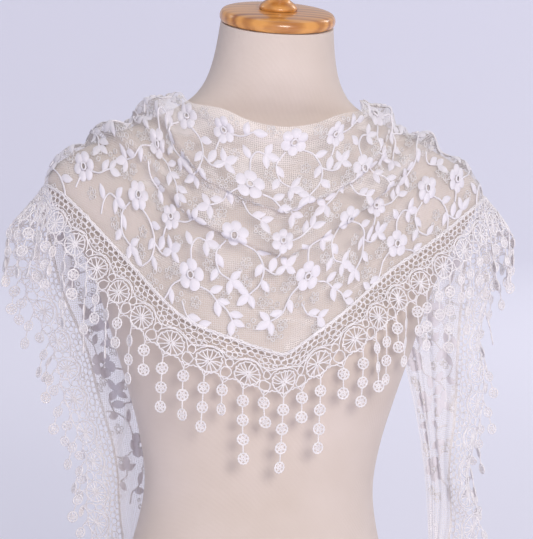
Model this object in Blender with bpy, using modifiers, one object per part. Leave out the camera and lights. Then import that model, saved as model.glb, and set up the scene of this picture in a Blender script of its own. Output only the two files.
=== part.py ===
"""A triangular lace veil worn as a wrap on a limbless dress form.

Every size in the tables is in millimetres and becomes metres when a mesh is made.
The form faces -Y, +Z is up, and the origin is the middle of the flat foot.
The veil is a right-angled pair of halves: an inner edge that runs round the neck,
and an outer edge that meets its twin at the point of the V on the chest. The lace
border and its fringe are sewn to the outer edge.
"""

import math

import bmesh
import bpy
import numpy as np
from mathutils import Vector
from mathutils.bvhtree import BVHTree

MM = 0.001

# Walls and seams
CLOTH_WALL = 1.0
LACE_WALL = 1.2
FRINGE_WALL = 1.1
SEAM_GAP = 0.5
TAIL_SEAM_GAP = 1.0
STRETCH_GAP = 0.8
ON_FORM = 1.2
ON_SHOULDER = 1.9
SETTLE_ROUNDS = 14

# Dress form
FORM_RINGS = (
    # height, half width, front depth, back depth, middle in depth
    (0, 163, 105, 112, 5),
    (60, 167, 104, 116, 5),
    (110, 165, 100, 114, 5),
    (160, 153, 95, 103, 3),
    (210, 136, 90, 88, 0),
    (260, 121, 85, 75, -2),
    (305, 115, 82, 70, -3),
    (350, 121, 85, 74, -3),
    (400, 135, 93, 84, -2),
    (440, 148, 100, 92, 0),
    (480, 161, 101, 98, 3),
    (520, 176, 96, 100, 5),
    (560, 199, 86, 98, 8),
    (590, 216, 76, 92, 12),
    (606, 218, 70, 86, 14),
    (620, 208, 63, 80, 15),
    (634, 186, 57, 74, 14),
    (648, 158, 53, 69, 12),
    (662, 128, 51, 65, 9),
    (676, 98, 51, 62, 5),
    (690, 78, 54, 60, 0),
    (704, 68, 55, 58, -5),
    (720, 62, 55, 56, -9),
    (740, 58, 54, 54, -13),
    (764, 55, 53, 53, -18),
)
RING_SQUARENESS = 2.3
BUST_HEIGHT = 458
BUST_ASIDE = 66
BUST_REACH = 17
BUST_SPREAD = 52
NECK_TILT = math.radians(12)
NECK_TILT_FROM = 700
FORM_SIDES = 36
CAP_PROFILE = (
    # radius, height: the underside's rim, the rounded edge, the crown
    (53.0, 0.0), (56.0, 1.5), (57.0, 5.5), (56.0, 9.5), (52.5, 12.2), (40.0, 13.6), (22.0, 14.2),
)
KNOB_PROFILE = (
    (18.5, 0.0), (19.0, 2.5), (16.5, 5.5), (11.5, 9.0), (9.5, 15.0), (11.5, 21.0), (17.0, 27.0),
    (20.5, 34.0), (20.0, 42.0), (15.5, 49.0), (8.0, 53.0),
)
CAP_GAP = 0.3
TURNED_STEPS = 20

# The halves of the veil: one row for each station from the V to the hanging tip.
# The inner edge lies round the neck and down the back, the outer edge is the leg
# of the V, and the last three say which way the lace border reaches from it.
STATIONS = {
    "right": (
        (0, -76, 664, 3, -119, 446, 0.0, 0.0, -1.0),
        (30, -74, 668, 57, -117, 487, 0.45, 0.0, -0.89),
        (58, -62, 673, 107, -86, 525, 0.56, 0.0, -0.83),
        (88, -32, 675, 160, -55, 556, 0.5, 0.0, -0.86),
        (95, 10, 684, 213, -14, 591, 0.3, 0.0, -0.95),
        (99, 46, 680, 232, 30, 590, 0.35, 0.05, -0.93),
        (106, 82, 646, 226, 68, 545, 0.45, 0.35, -0.8),
        (122, 106, 580, 224, 80, 480, 0.35, 0.55, -0.75),
        (144, 110, 500, 222, 80, 410, 0.35, 0.6, -0.7),
        (168, 110, 420, 220, 78, 340, 0.35, 0.6, -0.7),
        (188, 106, 340, 219, 78, 270, 0.35, 0.6, -0.7),
        (199, 100, 260, 216, 82, 205, 0.35, 0.55, -0.75),
        (206, 92, 146, 208, 91, 144, 0.3, 0.4, -0.85),
    ),
    "left": (
        (0, -76, 664, 3, -119, 446, 0.0, 0.0, -1.0),
        (-32, -74, 669, -40, -118, 459, -0.35, 0.0, -0.93),
        (-58, -62, 675, -96, -104, 481, -0.5, 0.0, -0.86),
        (-88, -32, 677, -150, -62, 534, -0.6, 0.0, -0.8),
        (-95, 10, 686, -206, -18, 590, -0.3, 0.0, -0.95),
        (-99, 46, 681, -226, 28, 590, -0.35, 0.05, -0.93),
        (-102, 84, 646, -216, 66, 548, -0.45, 0.35, -0.8),
        (-104, 108, 580, -196, 86, 480, -0.4, 0.5, -0.75),
        (-98, 112, 500, -166, 92, 410, -0.4, 0.55, -0.7),
        (-90, 108, 420, -146, 92, 340, -0.4, 0.55, -0.7),
        (-94, 104, 340, -132, 90, 270, -0.4, 0.55, -0.7),
        (-104, 98, 260, -124, 88, 205, -0.4, 0.5, -0.75),
        (-116, 92, 146, -118, 91, 144, -0.3, 0.4, -0.85),
    ),
}

# Folds that run from the cowl over the shoulder and down the tail. Places are
# shares of the way from the inner edge to the outer one, sizes are millimetres.
FOLD_STATIONS = (0.0, 2.0, 4.5, 7.0, 12.0)
FOLDS = (
    # places at the five stations, half width, heights at the five stations, droop
    ((0.03, 0.03, 0.04, 0.05, 0.05), 0.05, (7, 6, 4, 4, 0), 4),
    ((0.22, 0.20, 0.17, 0.22, 0.25), 0.11, (15, 13, 15, 9, 0), 15),
    ((0.46, 0.44, 0.50, 0.55, 0.55), 0.10, (12, 11, 14, 10, 0), 13),
    ((0.62, 0.64, 0.74, 0.80, 0.80), 0.07, (5, 6, 7, 8, 0), 6),
)
LAST_STATION = len(STATIONS["right"]) - 1
STATION_STEPS = 100
FREE_FROM = 6.0
EDGE_WAVE = 7.0
EDGE_WAVE_LENGTH = 4 * 33.0

# Lace border
REPEAT = 33.0
LACE_WIDTH = 37.0
LACE_TURN = 30.0
LACE_STEPS = 24
LACE_MADE = LACE_WIDTH + 8
LACE_READ = LACE_WIDTH + 4
CORNER = 35.0
FINE_ALONG = 4.0
FINE_ACROSS = 48
LACE_REPEATS = 24
HOLES_IN_REPEAT = (
    # along, across: middle of a hole, then half its length, half its width and its corners
    (9.0, 6.6, 3.0, 3.0, 4),
    (24.0, 6.6, 3.0, 3.0, 4),
    (16.5, 20.0, 3.6, 3.1, 6),
    (16.5, 29.3, 3.8, 3.4, 6),
)
SCALLOP = ((0, 36.3), (8, 34), (16.5, 37), (25, 34), (33, 36.3))

# Fringe: the number of rosettes on each drop, counted from the V outwards
DROP_ROSETTES = (4, 2, 4, 2, 3, 3, 3, 2, 3, 2, 3, 2)
TAIL_ROSETTES = (2, 1, 2, 2)
ROSETTE = 11.0
ROSETTE_PITCH = 18.5
DROP_START = 7.0
THREAD = 2.0
DROP_OFF_FORM = 2.2
STRIP_GAP = 0.75
STRIP_WIDTH = 1.5
STEEP_LEAN = 0.5
STEEP_SPREAD = 0.24
CROWDED_FROM = 15.4
CROWDED_LEAN = 0.3

# Where one stretch of the veil ends and the next begins, along the outer edge
FRONT_ENDS = 7 * REPEAT
SHOULDER_ENDS = 12 * REPEAT
CLOTH_ACROSS = (0.0, 0.08, 0.17, 0.26, 0.36, 0.46, 0.56, 0.67, 0.78, 0.89, 1.0)
TAIL_ACROSS = (0.0, 0.15, 0.32, 0.5, 0.68, 0.85, 1.0)
ROW_STEP = REPEAT / 2


def smooth(keys, rows, at):
    """A smooth curve through one row of values for each key, read at the places asked for."""
    keys, at = np.asarray(keys, float), np.atleast_1d(np.asarray(at, float))
    rows = np.asarray(rows, float).reshape(len(keys), -1)
    slopes = np.empty_like(rows)
    slopes[1:-1] = (rows[2:] - rows[:-2]) / (keys[2:] - keys[:-2])[:, None]
    slopes[0] = (rows[1] - rows[0]) / (keys[1] - keys[0])
    slopes[-1] = (rows[-1] - rows[-2]) / (keys[-1] - keys[-2])
    low = np.clip(np.searchsorted(keys, at, side="right") - 1, 0, len(keys) - 2)
    span = keys[low + 1] - keys[low]
    t = ((at - keys[low]) / span)[:, None]
    span = span[:, None]
    return (
        (2 * t**3 - 3 * t**2 + 1) * rows[low]
        + (t**3 - 2 * t**2 + t) * span * slopes[low]
        + (3 * t**2 - 2 * t**3) * rows[low + 1]
        + (t**3 - t**2) * span * slopes[low + 1]
    )


def form_ring(height, sides):
    """The points of one horizontal ring of the dress form, counted from +X towards +Y."""
    rings = np.array(FORM_RINGS, float)
    half_width, front, back, middle = smooth(rings[:, 0], rings[:, 1:], height)[0]
    angle = 2 * math.pi * np.arange(sides) / sides
    power = 2 / RING_SQUARENESS
    across = np.sign(np.cos(angle)) * np.abs(np.cos(angle)) ** power
    deep = np.sign(np.sin(angle)) * np.abs(np.sin(angle)) ** power
    x = half_width * across
    y = np.where(deep > 0, back, front) * deep
    rise = math.exp(-(((height - BUST_HEIGHT) / BUST_SPREAD) ** 2))
    cups = sum(np.exp(-(((x - side * BUST_ASIDE) / BUST_SPREAD) ** 2)) for side in (-1, 1))
    y -= BUST_REACH * rise * cups * np.clip(-2 * deep, 0, 1)
    top = FORM_RINGS[-1][0]
    share = np.clip((height - NECK_TILT_FROM) / (top - NECK_TILT_FROM), 0, 1)
    z = height + y * math.tan(NECK_TILT) * share
    return np.stack([x, y + middle, z], axis=1)


def form_skin():
    """The form's own facets, which the cloth is laid against."""
    points = np.concatenate([form_ring(row[0], FORM_SIDES) for row in FORM_RINGS])
    faces = []
    for lower in range(0, len(points) - FORM_SIDES, FORM_SIDES):
        for k in range(FORM_SIDES):
            after = (k + 1) % FORM_SIDES
            faces.append((lower + k, lower + after, lower + FORM_SIDES + after, lower + FORM_SIDES + k))
    return BVHTree.FromPolygons([Vector(p) for p in points], faces)


def clear_of(skin, points, gap, softness=1.5):
    """The points again, moved out where they lie in the form or nearer to it than the gap."""
    flat = points.reshape(-1, 3)
    out = flat.copy()
    for i, p in enumerate(flat):
        place, normal, _, _ = skin.find_nearest(Vector(p))
        place, normal = np.array(place), np.array(normal)
        above = float((p - place) @ normal)
        if above > gap + 6 * softness or np.linalg.norm(p - place) > 40 + gap and above > 0:
            continue
        lifted = gap + 0.5 * ((above - gap) + math.hypot(above - gap, softness))
        out[i] = p + normal * (lifted - above)
    return out.reshape(points.shape)


def unit(vectors):
    return vectors / np.maximum(np.linalg.norm(vectors, axis=-1, keepdims=True), 1e-9)


def squared(ways, along, share):
    """Directions turned square to the edge that they leave, by a share."""
    lean = np.sum(ways * along, axis=-1) * share
    return unit(ways - along * lean[..., None])


def lengths_along(points):
    """The distance along a row of points, from the first one."""
    steps = np.linalg.norm(np.diff(points, axis=0), axis=1)
    return np.concatenate([[0], np.cumsum(steps)])


def normals_of(grid, outward):
    along = np.gradient(grid, axis=0)
    across = np.gradient(grid, axis=1)
    return unit(np.cross(across, along)) * outward


def blurred(grid, times):
    """Evens out a grid of points along its length, with the ends kept."""
    for _ in range(times):
        inner = (grid[:-2] + 2 * grid[1:-1] + grid[2:]) / 4
        grid = np.concatenate([grid[:1], inner, grid[-1:]])
    return grid


def respaced(row, count):
    """A row of points again, evenly spaced along its own length."""
    at = lengths_along(row)
    want = np.linspace(0, at[-1], count)
    return np.stack([np.interp(want, at, row[:, k]) for k in range(3)], axis=1)


class Veil:
    """The veil's middle surface: the cloth by distance along its outer edge and share across,
    and the lace border by distance along the same edge and distance from it.
    Distances along are negative on the left half."""

    def __init__(self, skin):
        stations, kinds = self.both_halves()
        steps = 2 * LAST_STATION * STATION_STEPS + 1
        edge = self.edge_curve(stations, np.linspace(-LAST_STATION, LAST_STATION, steps))
        self.reach = {s: self.half_length(edge, s) for s in (-1, 1)}
        rows = int(LACE_REPEATS * REPEAT / FINE_ALONG)
        self.run = np.arange(-rows, rows + 1) * FINE_ALONG
        station = self.station_of(edge, self.run)
        inner = smooth(kinds, stations[:, 0:3], station)
        outer = self.edge_curve(stations, station)
        lace_way = unit(smooth(kinds, stations[:, 6:9], station))
        self.cloth, self.cloth_normal = self.lay_cloth(skin, inner, outer, np.abs(station))
        self.lace, self.lace_normal = self.lay_lace(skin, lace_way, np.abs(station))

    @staticmethod
    def both_halves():
        left = [row for row in STATIONS["left"]][::-1]
        right = [row for row in STATIONS["right"]][1:]
        return np.array(left + right, float), np.arange(-LAST_STATION, LAST_STATION + 1)

    @staticmethod
    def edge_curve(stations, at):
        """The outer edge, which keeps its corner at the V."""
        keys = np.arange(0, LAST_STATION + 1)
        left = smooth(keys, stations[LAST_STATION::-1, 3:6], np.abs(at))
        right = smooth(keys, stations[LAST_STATION:, 3:6], np.abs(at))
        return np.where((at < 0)[:, None], left, right)

    @staticmethod
    def half_length(edge, side):
        middle = LAST_STATION * STATION_STEPS
        half = edge[middle:] if side > 0 else edge[middle::-1]
        return lengths_along(half)

    def station_of(self, edge, run):
        keys = np.linspace(0, LAST_STATION, LAST_STATION * STATION_STEPS + 1)
        found = [
            math.copysign(np.interp(abs(s), self.reach[1 if s > 0 else -1] * self.slack(s), keys), s)
            for s in run
        ]
        return np.array(found)

    def slack(self, s):
        """How much longer the waved edge is cut than the line that it hangs along."""
        whole = LACE_REPEATS * REPEAT
        return whole / self.reach[1 if s > 0 else -1][-1]

    def lay_cloth(self, skin, inner, outer, station):
        share = np.linspace(0, 1, FINE_ACROSS + 1)[None, :, None]
        grid = inner[:, None] + (outer - inner)[:, None] * share
        grid = clear_of(skin, grid, ON_FORM, 3.0)
        grid = blurred(grid, 2)
        normal = normals_of(grid, 1)
        down = unit(np.gradient(grid, axis=1))
        lift, slide = self.fold_sizes(station, share[0, :, 0])
        grid = grid + normal * lift[..., None] + down * slide[..., None]
        grid += normal * self.edge_wave(station)[:, None, None] * share**2
        grid = blurred(grid, 2)
        grid = clear_of(skin, grid, ON_FORM)
        grid = np.stack([respaced(row, FINE_ACROSS + 1) for row in grid])
        return grid, normals_of(grid, 1)

    @staticmethod
    def fold_sizes(station, share):
        """How far each point of the cloth stands out in a fold, and how far it droops."""
        lift = np.zeros((len(station), len(share)))
        slide = np.zeros_like(lift)
        for places, half_width, heights, droop in FOLDS:
            place = smooth(FOLD_STATIONS, places, station)
            height = np.maximum(smooth(FOLD_STATIONS, heights, station), 0)
            bump = np.exp(-(((share[None] - place) / half_width) ** 2))
            lift += height * bump
            slide += droop * bump * np.clip(height / max(heights), 0, 1) * np.clip(3 - station, 0, 1)[:, None]
        ends = np.clip(share / 0.05, 0, 1) * np.clip((1 - share) / 0.12, 0, 1)
        return lift * np.clip((1 - share) / 0.12, 0, 1), slide * ends

    def edge_wave(self, station):
        ramp = np.clip((station - FREE_FROM) / 2, 0, 1) * np.clip((LAST_STATION - station) / 1.5, 0, 1)
        return EDGE_WAVE * ramp * np.sin(2 * math.pi * np.abs(self.run) / EDGE_WAVE_LENGTH)

    def lay_lace(self, skin, lace_way, station):
        """The border leaves the cloth in the cloth's own direction and turns into its own."""
        edge = self.cloth[:, -1]
        along = unit(np.gradient(edge, axis=0))
        square = np.clip((np.abs(self.run) - CORNER) / CORNER, 0, 1)
        cloth_way = squared(edge - self.cloth[:, -4], along, square)
        lace_way = squared(lace_way, along, square)
        side = unit(np.cross(along, lace_way))
        step = LACE_MADE / LACE_STEPS
        points = [edge]
        for k in range(LACE_STEPS):
            turn = min((k + 0.5) * step / LACE_TURN, 1)
            way = unit(cloth_way * (1 - turn) + lace_way * turn)
            points.append(points[-1] + way * step)
        grid = np.stack(points, axis=1)
        away = np.arange(LACE_STEPS + 1)[None, :, None] * step
        grid = grid + side[:, None] * self.edge_wave(station)[:, None, None] * (away / LACE_WIDTH) * 0.8
        middle = len(grid) // 2
        near = slice(middle - 12, middle + 13)
        grid[near, 1:] = blurred(grid[near, 1:], 8)
        grid = clear_of(skin, grid, ON_FORM)
        grid[:, 0] = edge
        rows = []
        for row in grid:
            at = lengths_along(row)
            want = np.linspace(0, LACE_READ, FINE_ACROSS + 1)
            rows.append(np.stack([np.interp(want, at, row[:, k]) for k in range(3)], axis=1))
        grid = np.stack(rows)
        return grid, normals_of(grid, 1)

    def read(self, grid, run, across):
        """Points of a grid at a distance along and a share across, by straight lines between its own."""
        i = np.clip((np.asarray(run, float) - self.run[0]) / FINE_ALONG, 0, len(self.run) - 1.001)
        j = np.clip(np.asarray(across, float) * FINE_ACROSS, 0, FINE_ACROSS - 0.001)
        i0, j0 = i.astype(int), j.astype(int)
        u, v = (i - i0)[..., None], (j - j0)[..., None]
        return (
            grid[i0, j0] * (1 - u) * (1 - v)
            + grid[i0 + 1, j0] * u * (1 - v)
            + grid[i0, j0 + 1] * (1 - u) * v
            + grid[i0 + 1, j0 + 1] * u * v
        )

    def on_cloth(self, run, share, lift=0.0):
        point = self.read(self.cloth, run, share)
        return point + unit(self.read(self.cloth_normal, run, share)) * np.asarray(lift)[..., None]

    def on_lace(self, run, away, lift=0.0):
        share = np.asarray(away, float) / LACE_READ
        point = self.read(self.lace, run, share)
        return point + unit(self.read(self.lace_normal, run, share)) * np.asarray(lift)[..., None]


# The solids, from the surfaces above
def material(name, colour, roughness, alpha=1.0):
    """A Principled BSDF from an sRGB colour written as six hex digits."""
    shade = bpy.data.materials.new(name)
    shade.use_nodes = True
    parts = [int(colour[k:k + 2], 16) / 255 for k in (0, 2, 4)]
    linear = [c / 12.92 if c <= 0.04045 else ((c + 0.055) / 1.055) ** 2.4 for c in parts]
    node = shade.node_tree.nodes["Principled BSDF"]
    node.inputs["Base Color"].default_value = (*linear, 1.0)
    node.inputs["Roughness"].default_value = roughness
    node.inputs["Metallic"].default_value = 0.0
    node.inputs["Alpha"].default_value = alpha
    return shade


def add_object(name, mesh, shade, collection):
    part = bpy.data.objects.new(name, mesh)
    mesh.materials.append(shade)
    collection.objects.link(part)
    return part


def mesh_from(bm, name, smooth_faces=True):
    mesh = bpy.data.meshes.new(name)
    bmesh.ops.recalc_face_normals(bm, faces=bm.faces)
    bm.to_mesh(mesh)
    bm.free()
    if smooth_faces:
        mesh.shade_smooth()
    return mesh


def thicken(part, wall):
    """Gives an open surface its wall, half to each side."""
    shell = part.modifiers.new("wall", "SOLIDIFY")
    shell.thickness = wall * MM
    shell.offset = 0.0


def sample_weights(count):
    """Shares of a face's corners at its middle, its edges' middles and half way to its corners."""
    middle = np.full(count, 1 / count)
    weights = [middle]
    for k in range(count):
        corner = np.eye(count)[k]
        edge = (corner + np.eye(count)[(k + 1) % count]) / 2
        weights += [edge, (middle + corner) / 2, (middle + edge) / 2, (3 * edge + corner) / 4]
    return weights


def settle(bm, skin, gap):
    """Moves corners out until the flat faces between them clear the form too."""
    for _ in range(SETTLE_ROUNDS):
        moves = {}
        for face in bm.faces:
            corners = np.array([vert.co for vert in face.verts]) / MM
            for weight in sample_weights(len(corners)):
                point = Vector(weight @ corners)
                place, normal, _, _ = skin.find_nearest(point)
                short = gap - (point - place).dot(normal)
                if not 0.03 < short < 30:
                    continue
                for vert, share in zip(face.verts, weight):
                    push = short * min(1, 1.5 * share)
                    if share > 0.1 and (vert not in moves or moves[vert].length < push):
                        moves[vert] = normal * push
        for vert, move in moves.items():
            vert.co += move * MM


def build_form(shade, collection):
    """Lofts the torso through its rings and closes the flat foot and the neck."""
    bm = bmesh.new()
    loops = []
    for row in FORM_RINGS:
        ring = bmesh.ops.create_circle(bm, segments=FORM_SIDES, radius=1.0)["verts"]
        for vert, place in zip(ring, form_ring(row[0], FORM_SIDES)):
            vert.co = Vector(place) * MM
        loops.append([edge for edge in bm.edges if edge.verts[0] in ring and edge.verts[1] in ring])
    for lower, upper in zip(loops, loops[1:]):
        bmesh.ops.bridge_loops(bm, edges=lower + upper)
    for loop in (loops[0], loops[-1]):
        bmesh.ops.contextual_create(bm, geom=loop)
    return add_object("form_body", mesh_from(bm, "form_body"), shade, collection)


def build_turned(name, profile, lift, shade, collection):
    """Turns a profile round the neck's tilted axis, starting some way above the neck's top."""
    bm = bmesh.new()
    points = [(0.0, profile[-1][1])] + list(profile[::-1]) + [(0.0, profile[0][1])]
    verts = [bm.verts.new((radius * MM, 0, (height + lift) * MM)) for radius, height in points]
    for first, second in zip(verts, verts[1:]):
        bm.edges.new((first, second))
    mesh = bpy.data.meshes.new(name)
    bm.to_mesh(mesh)
    bm.free()
    part = add_object(name, mesh, shade, collection)
    turn = part.modifiers.new("turn", "SCREW")
    turn.axis = "Z"
    turn.steps = turn.render_steps = TURNED_STEPS
    turn.use_merge_vertices = True
    turn.merge_threshold = 0.00005
    top, middle = FORM_RINGS[-1][0], FORM_RINGS[-1][4]
    part.location = (0, middle * MM, top * MM)
    part.rotation_euler = (NECK_TILT, 0, 0)
    return part


def spans(half):
    """The three stretches of one half, or of both for the front, as runs along the outer edge."""
    whole = LACE_REPEATS * REPEAT
    sign = 1 if half == "right" else -1
    return {
        "shoulder": (sign * FRONT_ENDS, sign * SHOULDER_ENDS),
        "tail": (sign * SHOULDER_ENDS, sign * (whole - REPEAT)),
    }


def rows_between(start, end, step):
    count = round(abs(end - start) / step)
    rows = np.linspace(start, end, count + 1)
    rows[0] += math.copysign(STRETCH_GAP / 2, end - start)
    rows[-1] -= math.copysign(STRETCH_GAP / 2, end - start)
    return rows


def seam_gap(run):
    """The seam beside the border, wider on the tails, where the border turns out of the cloth's plane."""
    return SEAM_GAP if abs(run) < SHOULDER_ENDS + 1 else TAIL_SEAM_GAP


def edge_share(veil, run):
    """The share across at which the cloth ends, so that its seam with the border stays even."""
    ends = veil.on_cloth(np.full(2, run), np.array([0.0, 1.0]))
    last = veil.on_cloth(np.full(2, run), np.array([0.95, 1.0]))
    edge_way = unit(veil.on_cloth(run + 2, 1.0) - veil.on_cloth(run - 2, 1.0))
    slant = max(np.linalg.norm(np.cross(unit(last[1] - last[0]), edge_way)), 0.2)
    return 1 - seam_gap(run) / 2 / slant / max(np.linalg.norm(ends[1] - ends[0]), 5)


def build_cloth(name, veil, skin, start, end, across, gap, shade, collection):
    """One stretch of the embroidered ground, from the inner edge to the lace."""
    rows = rows_between(start, end, ROW_STEP)
    shares = np.array(across)
    bm = bmesh.new()
    net = bmesh.ops.create_grid(bm, x_segments=len(rows) - 1, y_segments=len(shares) - 1, size=1.0)["verts"]
    for vert in net:
        i = round((vert.co.x + 1) / 2 * (len(rows) - 1))
        j = round((vert.co.y + 1) / 2 * (len(shares) - 1))
        share = shares[j] if j < len(shares) - 1 else edge_share(veil, rows[i])
        vert.co = Vector(veil.on_cloth(rows[i], share)) * MM
    settle(bm, skin, gap)
    part = add_object(name, mesh_from(bm, name), shade, collection)
    thicken(part, CLOTH_WALL)
    return part


def scallop_at(s):
    along, away = np.array(SCALLOP).T
    return float(np.interp(s % REPEAT, along, away))


def lace_repeat(bm, start, end):
    """One flat repeat of the border: a panel between two runs, with its gaps left open."""
    low, high = min(start, end), max(start, end)
    inner = [low, round((low + high) / REPEAT) * REPEAT / 2, high]
    outer = [min(max(low, math.floor(low / REPEAT + 0.5) * REPEAT + s), high) for s, _ in SCALLOP]
    outline = [(s, seam_gap(s) / 2) for s in inner]
    outline += [(s, scallop_at(round(s / 0.5) * 0.5)) for s in outer[::-1]]
    loops = [outline]
    first = math.floor(low / REPEAT + 0.5) * REPEAT
    for along, away, half_long, half_wide, corners in HOLES_IN_REPEAT:
        turns = [2 * math.pi * (k + 0.5 * (corners % 4 != 0)) / corners for k in range(corners)]
        loops.append([
            (first + along + half_long * math.cos(t), away + half_wide * math.sin(t)) for t in turns
        ])
    edges = []
    for loop in loops:
        verts = [bm.verts.new((s, w, 0)) for s, w in loop]
        edges += [bm.edges.new(pair) for pair in zip(verts, verts[1:] + verts[:1])]
    bmesh.ops.triangle_fill(bm, edges=edges, use_beauty=True)


def build_lace(name, veil, skin, start, end, shade, collection):
    """A stretch of the border, flat repeat by flat repeat, then laid on the veil's surface."""
    low, high = min(start, end), max(start, end)
    bm = bmesh.new()
    for k in range(round((high - low) / REPEAT)):
        first = low + k * REPEAT
        last = first + REPEAT
        first += STRETCH_GAP / 2 if k == 0 else 0
        last -= STRETCH_GAP / 2 if abs(last - high) < 1 else 0
        lace_repeat(bm, first, last)
    bmesh.ops.remove_doubles(bm, verts=bm.verts, dist=0.02)
    bmesh.ops.recalc_face_normals(bm, faces=bm.faces)
    for vert in bm.verts:
        vert.co = Vector(veil.on_lace(vert.co.x, vert.co.y)) * MM
    settle(bm, skin, ON_FORM)
    part = add_object(name, mesh_from(bm, name), shade, collection)
    thicken(part, LACE_WALL)
    return part


def beside_scallop(veil, run, away):
    """A place outside the scalloped edge, on a straight line between the scallops' own corners."""
    corners = np.array([s for s, _ in SCALLOP]) + math.floor(run / REPEAT) * REPEAT
    at = int(np.clip(np.searchsorted(corners, run, side="right") - 1, 0, len(corners) - 2))
    share = (run - corners[at]) / (corners[at + 1] - corners[at])
    ends = [veil.on_lace(s, scallop_at(s) + STRIP_GAP + away) for s in corners[at:at + 2]]
    return ends[0] * (1 - share) + ends[1] * share


def drop_rosettes(index):
    """How many rosettes hang on a drop, by its number from the V."""
    index = abs(index)
    if index < len(DROP_ROSETTES) * 2:
        return DROP_ROSETTES[index % len(DROP_ROSETTES)]
    return TAIL_ROSETTES[index % len(TAIL_ROSETTES)]


def drop_path(veil, skin, run, index, distances):
    """Places down a drop and the way that it faces. On a steep edge it leans out from it,
    and every second drop leans out where the edge is bunched and its neighbours are close."""
    away = scallop_at(run) + STRIP_GAP + STRIP_WIDTH
    root = veil.on_lace(run, away)
    edge_way = unit(veil.on_lace(run + 3, away) - veil.on_lace(run - 3, away))
    lace_way = unit(root - veil.on_lace(run, away - 6))
    facing = unit(np.cross(lace_way, edge_way))
    steep = edge_way[2] ** 2
    steep = steep * steep * (3 - 2 * steep)
    down = np.array([0.0, 0.0, -1.0])
    spread = STEEP_SPREAD * steep * (1 if index % 2 else -1)
    way = unit(down * (1 - 0.2 * steep) + lace_way * (0.12 + STEEP_LEAN * steep) + facing * spread)
    if index % 2:
        beside = [veil.on_lace(run + step, away) - root for step in (-REPEAT / 2, REPEAT / 2)]
        nearest = min(float(np.linalg.norm(step)) for step in beside)
        crowded = np.clip((CROWDED_FROM - nearest) / (CROWDED_FROM - ROSETTE), 0, 1)
        way = unit(way + unit(lace_way * (1, 1, 0)) * CROWDED_LEAN * crowded)
    points = root + np.asarray(distances)[:, None] * way
    points = clear_of(skin, points, DROP_OFF_FORM)
    points[0] = root
    return points, edge_way - way * float(edge_way @ way)


def build_fringe(name, veil, skin, start, end, shade, collection):
    """A narrow strip outside the scallops, and the drops that hang from it."""
    low, high = min(start, end), max(start, end)
    stops = set()
    half = THREAD / 2
    roots = []
    for k in range(round(low / REPEAT), round(high / REPEAT)):
        first = k * REPEAT
        for part_way in (0, REPEAT / 2):
            if first + part_way - half > low + 0.1:
                roots.append(first + part_way)
                stops |= {first + part_way - half, first + part_way + half}
        stops |= {first + SCALLOP[1][0], first + SCALLOP[3][0]}
    stops |= {low + STRETCH_GAP / 2, high - STRETCH_GAP / 2}
    stops = sorted(s for s in stops if low < s < high)
    bm = bmesh.new()
    rows = []
    for s in stops:
        rows.append([bm.verts.new(Vector(beside_scallop(veil, s, w)) * MM) for w in (0, STRIP_WIDTH)])
    for one, two in zip(rows, rows[1:]):
        bm.faces.new((one[0], two[0], two[1], one[1]))
    for run in roots:
        at = stops.index(run - half)
        index = round(run / REPEAT * 2)
        count = drop_rosettes(index)
        distances, widths = [0.0, DROP_START - 3.0], [THREAD, THREAD]
        for k in range(count):
            middle = DROP_START + ROSETTE / 2 + k * ROSETTE_PITCH
            last = k == count - 1
            distances += [middle, middle + ROSETTE / 2 + (0 if last else (ROSETTE_PITCH - ROSETTE) / 2)]
            widths += [ROSETTE, THREAD]
        points, across = drop_path(veil, skin, run, index, distances)
        across = unit(across)
        edge = bm.edges.get((rows[at][1], rows[at + 1][1]))
        for point, width in list(zip(points, widths))[1:]:
            made = bmesh.ops.extrude_edge_only(bm, edges=[edge])["geom"]
            edge = [g for g in made if isinstance(g, bmesh.types.BMEdge)][0]
            ends = [g for g in made if isinstance(g, bmesh.types.BMVert)]
            ends.sort(key=lambda vert: float(np.array(vert.co) @ across))
            ends[0].co = Vector(point - across * width / 2) * MM
            ends[1].co = Vector(point + across * width / 2) * MM
    part = add_object(name, mesh_from(bm, name, smooth_faces=False), shade, collection)
    thicken(part, FRINGE_WALL)
    return part


def main():
    for old in list(bpy.data.objects):
        bpy.data.objects.remove(old, do_unlink=True)
    collection = bpy.data.collections.new("lace_veil_on_form")
    bpy.context.scene.collection.children.link(collection)
    jersey = material("form jersey", "D9CCC4", 0.9)
    wood = material("turned wood", "B9783A", 0.3)
    tulle = material("embroidered tulle", "F3F0F2", 0.75, 0.55)
    guipure = material("guipure lace", "EFEBEC", 0.7)

    build_form(jersey, collection)
    build_turned("form_neck_cap", CAP_PROFILE, CAP_GAP, wood, collection)
    build_turned("form_knob", KNOB_PROFILE, 2 * CAP_GAP + CAP_PROFILE[-1][1], wood, collection)

    skin = form_skin()
    veil = Veil(skin)
    stretches = {"front": (-FRONT_ENDS, FRONT_ENDS)}
    for half in ("left", "right"):
        for stretch, run in spans(half).items():
            stretches[stretch + "_" + half] = run
    for label, (start, end) in stretches.items():
        across = TAIL_ACROSS if label.startswith("tail") else CLOTH_ACROSS
        gap = ON_SHOULDER if label.startswith("shoulder") else ON_FORM
        build_cloth("veil_" + label, veil, skin, start, end, across, gap, tulle, collection)
        build_lace("lace_" + label, veil, skin, start, end, guipure, collection)
        build_fringe("fringe_" + label, veil, skin, start, end, guipure, collection)


main()
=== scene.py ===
"""Looks for a triangular lace veil worn as a wrap on a limbless dress form.

Tables are in millimetres, in the frame's own axes: the form faces -Y and stands on
Z = 0. The veil's surface is worked out from the same tables as its solids, and the
embroidery, the border's threads and the rosettes are laid on that surface.
"""

import math

import bmesh
import bpy
import numpy as np
from mathutils import Matrix, Vector
from mathutils.bvhtree import BVHTree


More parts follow.
